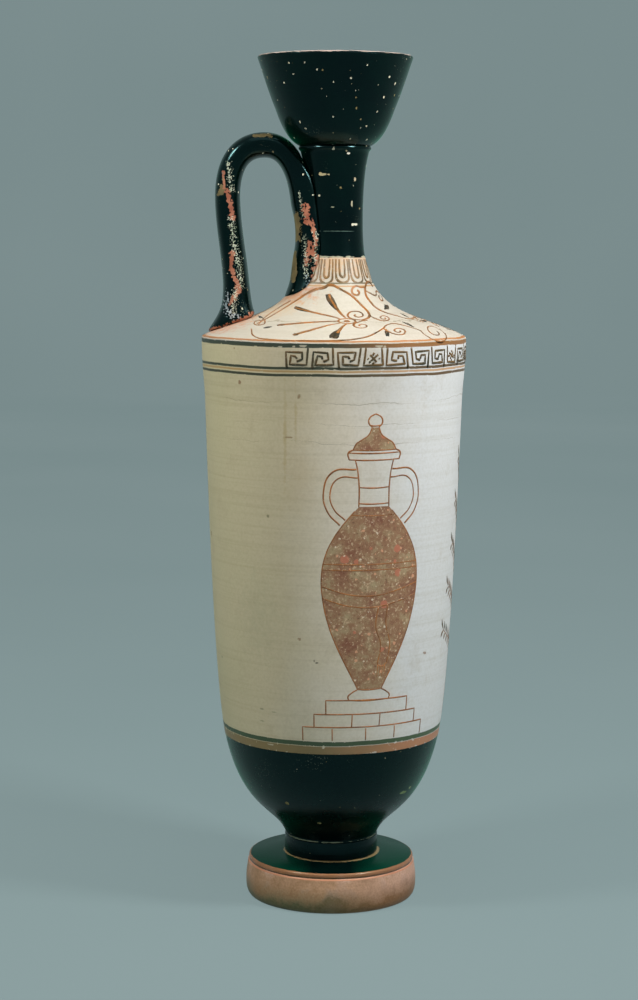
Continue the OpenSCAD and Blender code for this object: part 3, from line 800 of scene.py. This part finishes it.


# %% [markdown]
# ## Black gloss
# The black is not a glaze: it is the finest part of the clay, painted on and fired without air until
# it sinters. It has a wet, slightly uneven shine, a blue-black body that turns deep green at the
# edges, faint rings left by the wheel, and small chips where it has popped off the clay. An IOR of
# 1.38 and a low roughness give the soft shine, and a sheen of green gives the edge.

# %% Black gloss finish
# Marks on the handle, worn places and, in the last, haze with painted highlight: (attribute, two
# tints, mm across a tear, the least and the most that the attribute has to reach where it tears)
HANDLE_MARKS = (("olive", "#54482C", "#7A6844", 2.4, 0.2, 0.85),
                ("clay", "#8A4530", "#B4765A", 1.3, 0.3, 0.95),
                ("crust", "#7F8A6C", "#D2D0BA", 0.62, 0.5, 1.5),
                ("haze", "#5E7074", "#B9BEC2", 0.9, 0.5, 1.35))


def black_gloss(name, chip_mm, chip_share, satin=(0.13, 0.26), lines=(), knocks=(), rim_above=None,
                marks=()):
    finish, add, place = new_finish(name)
    height = add("SeparateXYZ", {}, {"Vector": place}).outputs["Z"]
    thin = add("TexNoise", {"Scale": 1000 / 26, "Detail": 3, "Roughness": 0.6}, {"Vector": place})
    colour = add("ValToRGB", {"stops": [(0.35, "#010406"), (0.8, "#02110D")]}, {"Fac": thin})
    # Chips: cells, of which a few hold one small ragged spot
    ragged = add("TexNoise", {"Scale": 1000 / 1.4, "Detail": 2}, {"Vector": place})
    shifted = add("MixRGB", {"blend_type": "ADD", "Fac": 0.0012},
                  {"Color1": place, "Color2": ragged.outputs["Color"]})
    chip, lot = few_spots(add, shifted, chip_mm, 1 - chip_share, 0.04, 0.24)
    chip_tone = add("ValToRGB", {"stops": [(0.2, "#8C7A4E"), (0.75, "#E0D8BE")]}, {"Fac": lot})
    colour = layered(add, colour, chip, chip_tone)
    # Dust-fine pits, in loose clusters
    near = cloud_between(add, place, 17, 2, 0.5, 0.56, 0.8, 0.0, 0.3)
    pits = add("TexVoronoi", {"Scale": 1000 / 0.9}, {"Vector": place})
    pit = add("Math", {"operation": "LESS_THAN"}, {0: pits.outputs["Distance"], 1: near})
    colour = layered(add, colour, pit, "#9AA08A", 0.35)
    # Larger chips (centre, half sizes, tint); pale lines round the pot, scraped on the stem and painted
    # highlight at the neck's foot; a worn rim; and the handle's worn marks and painted highlight
    wobble = add("TexNoise", {"Scale": 1000 / 5, "Detail": 3}, {"Vector": place})
    cuts_and_highlights = [(worn_place(add, place, ragged, centre, half, 0.1), tint) for centre, half, tint in knocks]
    cuts_and_highlights += [(drawn_round(add, height, low, high, wobble, broken_from, broken_from + 0.12), tint)
             for low, high, tint, broken_from in lines]
    if rim_above:
        edge = add("MapRange", {1: 0.3, 2: 0.7, 3: (rim_above - 0.3) * MM, 4: (rim_above + 0.1) * MM},
                   {0: wobble})
        rim_tone = add("ValToRGB", {"stops": [(0.35, "#A98A7C"), (0.7, "#C9B9B0")]}, {"Fac": thin})
        cuts_and_highlights.append((add("Math", {"operation": "GREATER_THAN"}, {0: height, 1: edge}), rim_tone))
    for mark, low_tint, high_tint, tear_mm, low, high in marks:
        laid = add("Attribute", {"attribute_name": mark})
        torn = cloud_between(add, place, tear_mm, 3, 0.5, 0.32, 0.68, low, high)
        tint = add("ValToRGB", {"stops": [(0.3, low_tint), (0.7, high_tint)]}, {"Fac": wobble})
        cuts_and_highlights.append((add("Math", {"operation": "GREATER_THAN"}, {0: laid.outputs["Fac"], 1: torn}), tint))
    for mask, tint in cuts_and_highlights:
        colour = layered(add, colour, mask, tint)
    bare = any_of(add, [chip] + [mask for mask, tint in cuts_and_highlights])
    # Wheel rings, some 0.8 mm apart, and shine
    rings = wheel_rings(add, place, 12, 0.8, 2)
    uneven = add("TexNoise", {"Scale": 1000 / 9, "Detail": 3}, {"Vector": place})
    relief = add("MixRGB", {"Fac": 0.65}, {"Color1": rings, "Color2": uneven})
    relief = layered(add, relief, bare, "#000000")
    shine = add("MapRange", {1: 0.3, 2: 0.75, 3: satin[0], 4: satin[1]}, {0: uneven})
    matt = add("Math", {"operation": "MULTIPLY", 1: 0.5}, {0: bare})
    rough = add("Math", {"operation": "ADD"}, {0: shine, 1: matt})
    fired(add, colour, relief, 0.25, 0.35,
          {"IOR": 1.38, "Specular Tint": (0.4, 0.9, 0.92, 1), "Sheen Weight": 0.7,
           "Sheen Roughness": 0.35, "Sheen Tint": "#0A6A4A"}, {"Roughness": rough})
    return finish


# %% [markdown]
# ## White slip
# The white ground is a fine kaolin slip, brushed on while the flask turns and burnished. It has a
# dull, chalky sheen, fine rings from the brush, hair cracks, brown spots where iron shows through,
# and it has yellowed on the side that lay in the ground, the left of the view, where its colour also
# holds painted shade.

# %% White slip finish
def white_slip(name, tints, bands, cracks, soiled, flaked=()):
    finish, add, place = new_finish(name)
    parts = add("SeparateXYZ", {}, {"Vector": place})
    height = parts.outputs["Z"]
    # The yellowed and shaded side: from the left of the view to the right of it. The left tints are
    # yellowed slip and painted shade together.
    cloud = add("TexNoise", {"Scale": 1000 / 45, "Detail": 4, "Roughness": 0.6}, {"Vector": place})
    cloudy = add("MapRange", {1: 0.2, 2: 0.8, 3: -12 * MM, 4: 12 * MM}, {0: cloud})
    across = add("Math", {"operation": "ADD"}, {0: parts.outputs["X"], 1: cloudy})
    side = add("MapRange", {1: -50 * MM, 2: 35 * MM}, {0: across})
    colour = add("ValToRGB", {"stops": [(i / 3, tint) for i, tint in enumerate(tints)]}, {"Fac": side})
    # Fine grain and brushed rings
    grain = add("TexNoise", {"Scale": 1000 / 1.1, "Detail": 4}, {"Vector": place})
    colour = shaded(add, colour, grain, 0.3, 0.6, "#D8D3C4", 0.24)
    rings = wheel_rings(add, place, 9, 1.6, 4, 0.7)
    colour = shaded(add, colour, rings, 0.3, 0.52, "#CFC8B2", 0.22)
    # Soft grey-brown clouds, and iron spots
    soil = cloud_between(add, place, 14, 6, 0.7, 0.56, 0.85, 0.0, 0.5)
    colour = layered(add, colour, soil, "#A89878")
    torn = add("MapRange", {1: 0.35, 2: 0.7, 3: 0.4, 4: 1.4}, {0: grain})
    spot, _ = few_spots(add, place, 13, 0.72, 0, 0.09, torn)
    colour = layered(add, colour, spot, "#8B6844", 0.7)
    # Soiled places: (centre, half sizes in mm, how softly they end, tint, strength)
    ragged = add("TexNoise", {"Scale": 1000 / 2.6, "Detail": 4, "Roughness": 0.7}, {"Vector": place})
    for centre, half, soft, tint, strength in soiled:
        on = worn_place(add, place, ragged, centre, half, soft, strength)
        colour = layered(add, colour, on, tint)
    # Hair cracks that run round at a few heights, broken here and there
    wander = cloud_between(add, place, 30, 5, 0.65, 0.3, 0.7, -1.3 * MM, 1.3 * MM)
    bent = add("Math", {"operation": "ADD"}, {0: height, 1: wander})
    clefts = [drawn_round(add, bent, level - 0.17, level + 0.17, cloud, 0.42, 0.62) for level in cracks]
    for cleft in clefts:
        colour = layered(add, colour, cleft, "#8E8266", 0.6)
    # Bands drawn on the turning wheel: (low, high, tint at the yellowed side, tint at the other, strength).
    # The darker tints at the left of the view are partly the paint's own colour and partly painted shade.
    shake = cloud_between(add, place, 22, 4, 0.5, 0.3, 0.7, -0.22 * MM, 0.22 * MM)
    level = add("Math", {"operation": "ADD"}, {0: height, 1: shake})
    worn = add("TexNoise", {"Scale": 1000 / 2.2, "Detail": 5, "Roughness": 0.7}, {"Vector": place})
    lit_side_share = add("MapRange", {1: 0.55, 2: 0.95}, {0: side})
    painted = []
    for low, high, left_tint_with_shade, right_tint, strength in bands:
        on = drawn_round(add, level, low, high, worn, 0.25, 0.42)
        painted.append(add("Math", {"operation": "MULTIPLY", 1: strength}, {0: on}))
        tint = add("MixRGB", {"Color1": left_tint_with_shade, "Color2": right_tint}, {"Fac": lit_side_share})
        colour = layered(add, colour, painted[-1], tint)
    # Places where the painted bands have flaked off
    for centre, half in flaked:
        colour = layered(add, colour, worn_place(add, place, worn, centre, half, 0.3, 0.7), "#CFC6AE")
    # Relief, and a sheen that is a little higher on the paint
    relief = add("MixRGB", {"Fac": 0.5}, {"Color1": rings, "Color2": grain})
    relief = layered(add, relief, any_of(add, clefts), "#000000")
    rough = add("MapRange", {1: 0.3, 2: 0.7, 3: 0.5, 4: 0.68}, {0: grain})
    shine = add("Math", {"operation": "MULTIPLY", 1: -0.2}, {0: any_of(add, painted)})
    rough = add("Math", {"operation": "ADD"}, {0: rough, 1: shine})
    fired(add, colour, relief, 0.22, 0.25, {"IOR": 1.45}, {"Roughness": rough})
    return finish


# %% [markdown]
# ## Reserved clay
# The side of the foot is left bare, so the fired Attic clay shows: pinkish orange, rubbed with miltos,
# stained olive-brown low down where it stood in the ground. The foot's top is painted black up to a
# scraped line and a groove.

# %% Foot finish
def foot_finish():
    finish, add, place = new_finish("reserved_clay_foot")
    parts = add("SeparateXYZ", {}, {"Vector": place})
    side, depth, height = (parts.outputs[axis] for axis in "XYZ")
    cloud = add("TexNoise", {"Scale": 1000 / 11, "Detail": 5, "Roughness": 0.62}, {"Vector": place})
    grain = add("TexNoise", {"Scale": 1000 / 0.8, "Detail": 4}, {"Vector": place})
    clay = add("ValToRGB", {"stops": [(0.32, "#A27C58"), (0.5, "#C49A79"), (0.68, "#DDB8A6")]},
               {"Fac": cloud})
    # Pinker towards the right of the view
    pinker = add("MapRange", {1: 0.0, 2: 36 * MM, 3: 0.0, 4: 0.6}, {0: side})
    clay = layered(add, clay, pinker, "#E6B8A6")
    # Stains that climb from the resting ring to about half the height, olive and then brown
    climb = add("MapRange", {1: 0.25, 2: 0.75, 3: 0.5 * MM, 4: 12.5 * MM}, {0: cloud})
    drop = add("Math", {"operation": "SUBTRACT"}, {0: climb, 1: height})
    stain = add("MapRange", {1: -5 * MM, 2: 4 * MM, 3: 0.0, 4: 0.88}, {0: drop})
    browner = add("MapRange", {1: -12 * MM, 2: 22 * MM}, {0: side})
    stain_tone = add("MixRGB", {"Color1": "#4E5632", "Color2": "#80562A"}, {"Fac": browner})
    colour = layered(add, clay, stain, stain_tone)
    colour = shaded(add, colour, grain, 0.3, 0.62, "#C4B29C", 0.4)
    # Groove: dark below, with an orange line on each side
    for low, high, tint in ((15.15, 15.75, "#4A3520"), (14.5, 15.05, "#CE8A6A"), (15.85, 17.45, "#9A6844")):
        colour = layered(add, colour, drawn_round(add, height, low, high), tint, 0.85)
    # Black top, out to about 35 mm from the axis. Its darker middle under the bowl is painted shade, and
    # its green to the left and right of the view is a painted reflection.
    flat = add("CombineXYZ", {}, {"X": side, "Y": depth})
    out = add("VectorMath", {"operation": "LENGTH"}, {0: flat}).outputs["Value"]
    edge = add("MapRange", {1: 0.3, 2: 0.7, 3: 34.9 * MM, 4: 35.15 * MM}, {0: cloud})
    inside = add("Math", {"operation": "LESS_THAN"}, {0: out, 1: edge})
    above = add("Math", {"operation": "GREATER_THAN", 1: 17.3 * MM}, {0: height})
    top = add("Math", {"operation": "MULTIPLY"}, {0: inside, 1: above})
    painted_reflection_reach = add("Math", {"operation": "ABSOLUTE"}, {0: side})
    painted_reflection_reach = add("MapRange", {1: 8 * MM, 2: 22 * MM}, {0: painted_reflection_reach})
    black = add("MixRGB", {"Color1": "#01110F", "Color2": "#04402E"}, {"Fac": painted_reflection_reach})
    colour = layered(add, colour, top, black)
    # Scraped line round the fillet
    ragged = add("MapRange", {1: 0.35, 2: 0.65, 3: -0.25 * MM, 4: 0.4 * MM}, {0: grain})
    close = add("MapRange", {1: -20 * MM, 2: 20 * MM, 3: 20.45 * MM, 4: 21.1 * MM}, {0: side})
    close = add("Math", {"operation": "ADD"}, {0: close, 1: ragged})
    scraped = add("Math", {"operation": "LESS_THAN"}, {0: out, 1: close})
    scraped = add("Math", {"operation": "MULTIPLY"}, {0: scraped, 1: top})
    colour = layered(add, colour, scraped, "#A58E66")
    relief = add("MixRGB", {"Fac": 0.5}, {"Color1": wheel_rings(add, place, 14, 0.9, 3), "Color2": grain})
    rough = add("MapRange", {1: 14.2 * MM, 2: 15.8 * MM, 3: 0.46, 4: 0.24}, {0: height})
    mirror = add("MapRange", {3: 0.5, 4: 0.12}, {0: top})
    fired(add, colour, relief, 0.35, 0.3, {"IOR": 1.4, "Specular Tint": (0.8, 0.95, 0.88, 1)},
          {"Roughness": rough, "Specular IOR Level": mirror})
    return finish


# %% [markdown]
# ## Dilute slip: lines, drops and wash
# The same clay slip thinned with water fires golden brown instead of black. A fine line is golden,
# a fat drop holds more slip and turns olive-black, and where the brush ran dry it breaks up. The
# matt wash is a different thing: an earth colour put on after the firing, which has flaked.

# %% Line, drop and wash finishes
def dilute_line(name, thin_tint, thick_tint, patch_mm, cover=0.5):
    finish, add, place = new_finish(name)
    load = add("TexNoise", {"Scale": 1000 / patch_mm, "Detail": 4, "Roughness": 0.65}, {"Vector": place})
    colour = add("ValToRGB", {"stops": [(cover - 0.14, thick_tint), (cover + 0.14, thin_tint)]},
                 {"Fac": load})
    fine = add("TexNoise", {"Scale": 1000 / 0.7, "Detail": 3}, {"Vector": place})
    worn = add("MapRange", {1: 0.62, 2: 0.72, 3: 0.0, 4: 0.6}, {0: fine})
    colour = layered(add, colour, worn, "#D9CDB2")
    rough = add("MapRange", {1: 0.3, 2: 0.7, 3: 0.25, 4: 0.5}, {0: load})
    fired(add, colour, fine, 0.2, 0.1, {"IOR": 1.5}, {"Roughness": rough})
    return finish


def flaked_wash(name):
    finish, add, place = new_finish(name)
    cloud = add("TexNoise", {"Scale": 1000 / 9, "Detail": 6, "Roughness": 0.72}, {"Vector": place})
    colour = add("ValToRGB", {"stops": [(0.36, "#8A5A44"), (0.5, "#9E795A"), (0.66, "#AE9A76")]},
                 {"Fac": cloud})
    fine = add("TexNoise", {"Scale": 1000 / 1.3, "Detail": 5, "Roughness": 0.7}, {"Vector": place})
    for start, end, share, tint in ((0.56, 0.63, 0.85, "#D3B896"), (0.42, 0.34, 0.7, "#6C4735")):
        colour = layered(add, colour, add("MapRange", {1: start, 2: end, 3: 0.0, 4: share}, {0: fine}), tint)
    ragged = add("MixRGB", {"blend_type": "ADD", "Fac": 0.0016},
                 {"Color1": place, "Color2": fine.outputs["Color"]})
    for cell_mm, reach, tint in ((5.5, 0.34, "#C4785C"), (2.6, 0.3, "#DDA37F"), (1.7, 0.27, "#E6D6BC")):
        flake, _ = few_spots(add, ragged, cell_mm, 0.6, 0.0, reach)
        colour = layered(add, colour, flake, tint, 0.85)
    fired(add, colour, fine, 0.3, 0.15, {"IOR": 1.45, "Roughness": 0.7}, {})
    return finish


# %% [markdown]
# ## Giving each piece its finish
# Each piece gets a finish of its own, because each has its own wear: the mouth is full of small
# chips, the bowl has few, and the handle carries the worn marks and some painted highlight. Larger
# chips, stains and flakes are placed one by one, by their middle and half sizes in millimetres from
# the axis and the ground.

# %% Give the gloss and the clay
def give(finish, *pieces):
    for piece in pieces:
        piece.data.materials.clear()
        piece.data.materials.append(finish)
    print(finish.name, "on", [p.name for p in pieces])


give(black_gloss("black_gloss_mouth", 2.3, 0.3, rim_above=359.75), mouth)
# The pale line round the neck's foot, where it flares, is a painted highlight
give(black_gloss("black_gloss_neck", 2.8, 0.16, lines=((275.9, 276.8, "#A9A48C", 0.44),), knocks=(
    ((-5, -11.8, 310.6), (2.6, 1.6, 0.62), "#C9B98E"), ((5.8, -13, 319.3), (0.7, 0.7, 0.42), "#E8E2CE"),
    ((8.4, -9.3, 308.6), (0.5, 0.5, 0.8), "#B9A98A"), ((-0.7, -12, 297), (0.9, 0.8, 0.3), "#9C9A80"),
    ((7.2, -9.6, 298.7), (0.5, 0.6, 1.3), "#A79F84"), ((8.6, -8.4, 289.9), (1.5, 1.4, 0.45), "#D8D2BC"),
    ((2, -11.5, 287), (9, 4, 0.16), "#4E5E54"), ((9, 9, 300), (1.6, 1.6, 0.8), "#C9B98E"))), neck)
give(black_gloss("black_gloss_bowl", 4.5, 0.04, (0.24, 0.34), knocks=(
    ((30.4, -24.2, 50), (2.2, 2.2, 0.7), "#8F9A6C"), ((33, -21, 52), (0.8, 0.8, 1.2), "#B4B48C"),
    ((-30, 24, 48), (2, 2, 1.1), "#8F9A6C"))), bowl)
give(black_gloss("black_gloss_stem", 4.5, 0.04, (0.18, 0.3), lines=(
    (26.5, 26.95, "#B4B294", 0.42), (18.3, 18.75, "#A08A5A", 0.34))), fillet)
give(black_gloss("black_gloss_handle", 2.1, 0.22, marks=HANDLE_MARKS), strap)
give(foot_finish(), foot)

# %% Finishes of wall and shoulder
# Band tints run from the left of the view, darkened partly with painted shade, to the right
EDGE_BAND = (240.5, 242.2, "#26352A", "#96642F", 0.95)
IRON, DARK_IRON, OLIVE = "#B49C66", "#4E4A38", "#77785A"
give(white_slip(
    # Tints from the left of the view to the right: yellowed slip darkened with painted shade, to clean slip
    "white_slip_wall", ("#C7BE99", "#D0C2A2", "#DED4C3", "#DFDFDE"),
    (EDGE_BAND, (231.55, 232.65, "#2B382A", "#5A4526", 0.95), (230.4, 231.2, "#B08A4E", "#C08A4C", 0.8),
     (228.7, 229.8, "#2F3628", "#644A28", 0.95), (75.1, 77.0, "#2E4A2E", "#3C5630", 0.95),
     (71.4, 74.9, "#857046", "#BC7E55", 0.95)),
    cracks=(218.3, 209.7, 202),
    soiled=(((-19.9, -51, 204), (0.9, 3, 27), 0.9, IRON, 0.5),
            ((-15.6, -52.6, 212), (0.8, 3, 15), 0.9, IRON, 0.45),
            ((-14.4, -53, 220.4), (1.0, 1.6, 1.1), 0.5, "#8A6A44", 0.75),
            ((-38.7, -39.7, 225.5), (0.8, 1.2, 1.0), 0.4, "#86603E", 0.8),
            ((-18.3, -51.2, 203.9), (2.3, 2, 0.5), 0.5, "#8A6C42", 0.7),
            ((-14, -52, 188), (9, 9, 16), 1.4, "#B79A6E", 0.28),
            ((-26.9, -46, 171), (0.7, 1, 0.7), 0.6, "#6E6A48", 0.7),
            ((-6.5, -49.8, 110.7), (0.7, 1, 0.5), 0.5, DARK_IRON, 0.85),
            ((-7.6, -49.8, 111.6), (0.4, 0.8, 0.7), 0.5, DARK_IRON, 0.6),
            ((-29.3, -38.7, 89), (1.2, 2, 0.4), 0.6, OLIVE, 0.7),
            ((-24.3, -42, 88.4), (1.6, 2, 0.35), 0.6, OLIVE, 0.65),
            ((-29.3, -38, 83.8), (1.6, 2, 0.3), 0.6, OLIVE, 0.6),
            ((-46.9, -17.3, 107), (1.4, 1.2, 0.8), 0.6, OLIVE, 0.6),
            ((-30, -38, 128), (12, 12, 22), 1.4, "#8E9070", 0.3),
            ((30, 40, 190), (1.2, 1.2, 6), 0.7, "#A88C5E", 0.5),
            ((-44, 28, 150), (10, 10, 20), 1.3, "#9A916A", 0.35)),
    flaked=(((-13, -54.6, 241.2), (2.2, 1.6, 0.7)), ((-16.4, -53.8, 240.9), (0.9, 1.4, 0.5)),
            ((18, -53.2, 241.2), (1.6, 1.6, 0.5)), ((20.4, -52.4, 241), (0.7, 1.2, 0.6)),
            ((-22, -51.6, 240.6), (1.2, 2, 0.3)), ((30, 47.4, 240.8), (2, 2, 0.6)),
            ((19, -50, 76.2), (1.4, 2, 0.4)), ((-26, -40, 74), (1.8, 3, 0.4)))), wall)
# The shoulder's tints are greyer and darker than the wall's: painted shade that keeps the upward slope, lit
# more by the high lamps, from rendering brighter than the wall.
give(white_slip(
    "white_slip_shoulder", ("#BFB8A9", "#C1B9A9", "#C6BFB0", "#C4BBAC"),
    (EDGE_BAND, (242.75, 243.35, "#A5672B", "#B5702F", 0.9), (264.0, 264.6, "#B58A55", "#C08A4C", 0.8),
     (265.1, 265.8, "#57502F", "#6E5634", 0.85)),
    cracks=(250,),
    soiled=(((-46, 0, 249), (19, 31, 9), 0.5, "#C08E70", 0.85),
            ((-15, 0, 263), (15, 25, 10), 0.5, "#C0845F", 0.85),
            ((-26, -17, 256), (18, 13, 9), 1.2, "#CDAA7C", 0.7),
            ((-30, -2, 254), (18, 11, 8), 0.9, "#C7A67E", 0.7),
            ((-33, 9, 252), (17, 9, 8), 0.25, "#A98150", 0.9),
            ((0, 0, 277), (25, 25, 12.5), 0.5, "#CFA882", 0.8))), shoulder)

# %% Finishes of the drawing
give(dilute_line("dilute_slip_line", "#B26F35", "#7A4C28", 7), *picture)
give(dilute_line("dilute_slip_tendril", "#AE6E2E", "#5E4424", 6), *palmettes[::2])
give(dilute_line("dilute_slip_tongue", "#8E6A38", "#4E4228", 6), tongues)
give(dilute_line("dilute_slip_drop", "#6E4E2A", "#2C2A20", 5, 0.62), *palmettes[1::2])
give(dilute_line("dilute_slip_leaf", "#8A5E34", "#4A4530", 6, 0.55), leaves)
give(dilute_line("dilute_slip_key", "#77592F", "#3A3A2A", 12), key_band)
give(flaked_wash("matt_wash"), *washes)

# %% [markdown]
# ## Ground, light and camera
# The flask stands on a plain matt ground that sweeps up behind it. Seen straight, in a reflection
# or through glass, the ground is mostly its own colour and a quarter lit paint. That keeps the
# background even and still lets the flask's soft shadow show. A small key lamp at the upper right
# and a weaker one at the upper left give the gloss its two narrow lights, and a wide lamp overhead
# opens the shadows. The camera has a long lens at the height of the neck, tilted down by 6.8 degrees.

# %% Ground
def fold_edge():
    """Picks the far edge of the ground, where the backdrop starts."""
    bpy.ops.mesh.select_all(action="DESELECT")
    cloth = bmesh.from_edit_mesh(ground.data)
    for e in cloth.edges:
        e.select_set(all(v.co.y > 2.9 and v.co.z < 0.01 for v in e.verts))
    bmesh.update_edit_mesh(ground.data)


def background_rays(add):
    rays = add("LightPath").outputs
    return any_of(add, [rays["Is Camera Ray"], rays["Is Glossy Ray"], rays["Is Transmission Ray"]])


bpy.ops.object.select_all(action="DESELECT")
bpy.ops.mesh.primitive_plane_add(size=6, location=(0, 0, 0))
ground = bpy.context.object
ground.name = "ground"
bpy.ops.object.mode_set(mode="EDIT")
fold_edge()
bpy.ops.mesh.extrude_region_move(TRANSFORM_OT_translate={"value": (0, 0, 4)})
fold_edge()
bpy.ops.mesh.bevel(offset=1.2, segments=24, profile=0.5)
bpy.ops.object.mode_set(mode="OBJECT")
bpy.ops.object.shade_smooth()
GLOW = 0.75
pale, add, place = new_finish("matt_ground_paint")
cloud = add("TexNoise", {"Scale": 1.2, "Detail": 3}, {"Vector": place})
tone = add("ValToRGB", {"stops": [(0.3, "#869A9B"), (0.7, "#8C9FA0")]}, {"Fac": cloud})
painted = add("BsdfPrincipled", {"Roughness": 0.9}, {"Base Color": tone})
even = add("Emission", {"Strength": 1.0}, {"Color": tone})
share = add("Math", {"operation": "MULTIPLY", 1: GLOW}, {0: background_rays(add)})
add("OutputMaterial", {}, {"Surface": add("MixShader", {}, {0: share, 1: painted, 2: even})})
give(pale, ground)


# %% Lamps, world and camera
def hang_lamp(name, place, aim, size, watts, colour):
    lamp = bpy.data.lights.new(name, "AREA")
    lamp.shape, lamp.size, lamp.size_y = "RECTANGLE", size, size
    lamp.energy, lamp.color = watts, colour
    holder = bpy.data.objects.new(name, lamp)
    bpy.context.scene.collection.objects.link(holder)
    holder.location = place
    holder.rotation_euler = (Vector(aim) - Vector(place)).to_track_quat("-Z", "Y").to_euler()


hang_lamp("key_lamp", (0.385, -0.222, 0.61), (0, 0, 0.28), 0.12, 3.9, (1, 0.995, 0.99))
hang_lamp("fill_lamp", (-0.385, -0.222, 0.6), (0, 0, 0.27), 0.11, 2.3, (1, 0.99, 0.96))
hang_lamp("overhead_lamp", (0.1, -0.5, 1.6), (0, 0, 0.2), 1.2, 3, (0.97, 1, 1))

world = bpy.data.worlds.new("studio")
bpy.context.scene.world = world
world.use_nodes = True
world.node_tree.nodes.clear()
add = partial(add_node, world.node_tree)
soft = add("Background", {"Color": (0.78, 0.84, 0.84, 1), "Strength": 0.14})
far_wall = add("Background", {"Color": "#899D9E", "Strength": GLOW})
sky = add("MixShader", {}, {0: background_rays(add), 1: soft, 2: far_wall})
add("OutputWorld", {}, {"Surface": sky})

TILT, ROLL = 6.84, 0.28
lens = bpy.data.cameras.new("view")
lens.lens, lens.sensor_width = 81.43, 36
viewer = bpy.data.objects.new("view", lens)
bpy.context.scene.collection.objects.link(viewer)
viewer.location = (-0.00597, -0.965, 0.288)
tilt = Matrix.Rotation(math.radians(90 - TILT), 3, "X")
viewer.rotation_euler = (tilt @ Matrix.Rotation(math.radians(ROLL), 3, "Z")).to_euler()
bpy.context.scene.camera = viewer
bpy.context.scene.view_settings.view_transform = "Standard"
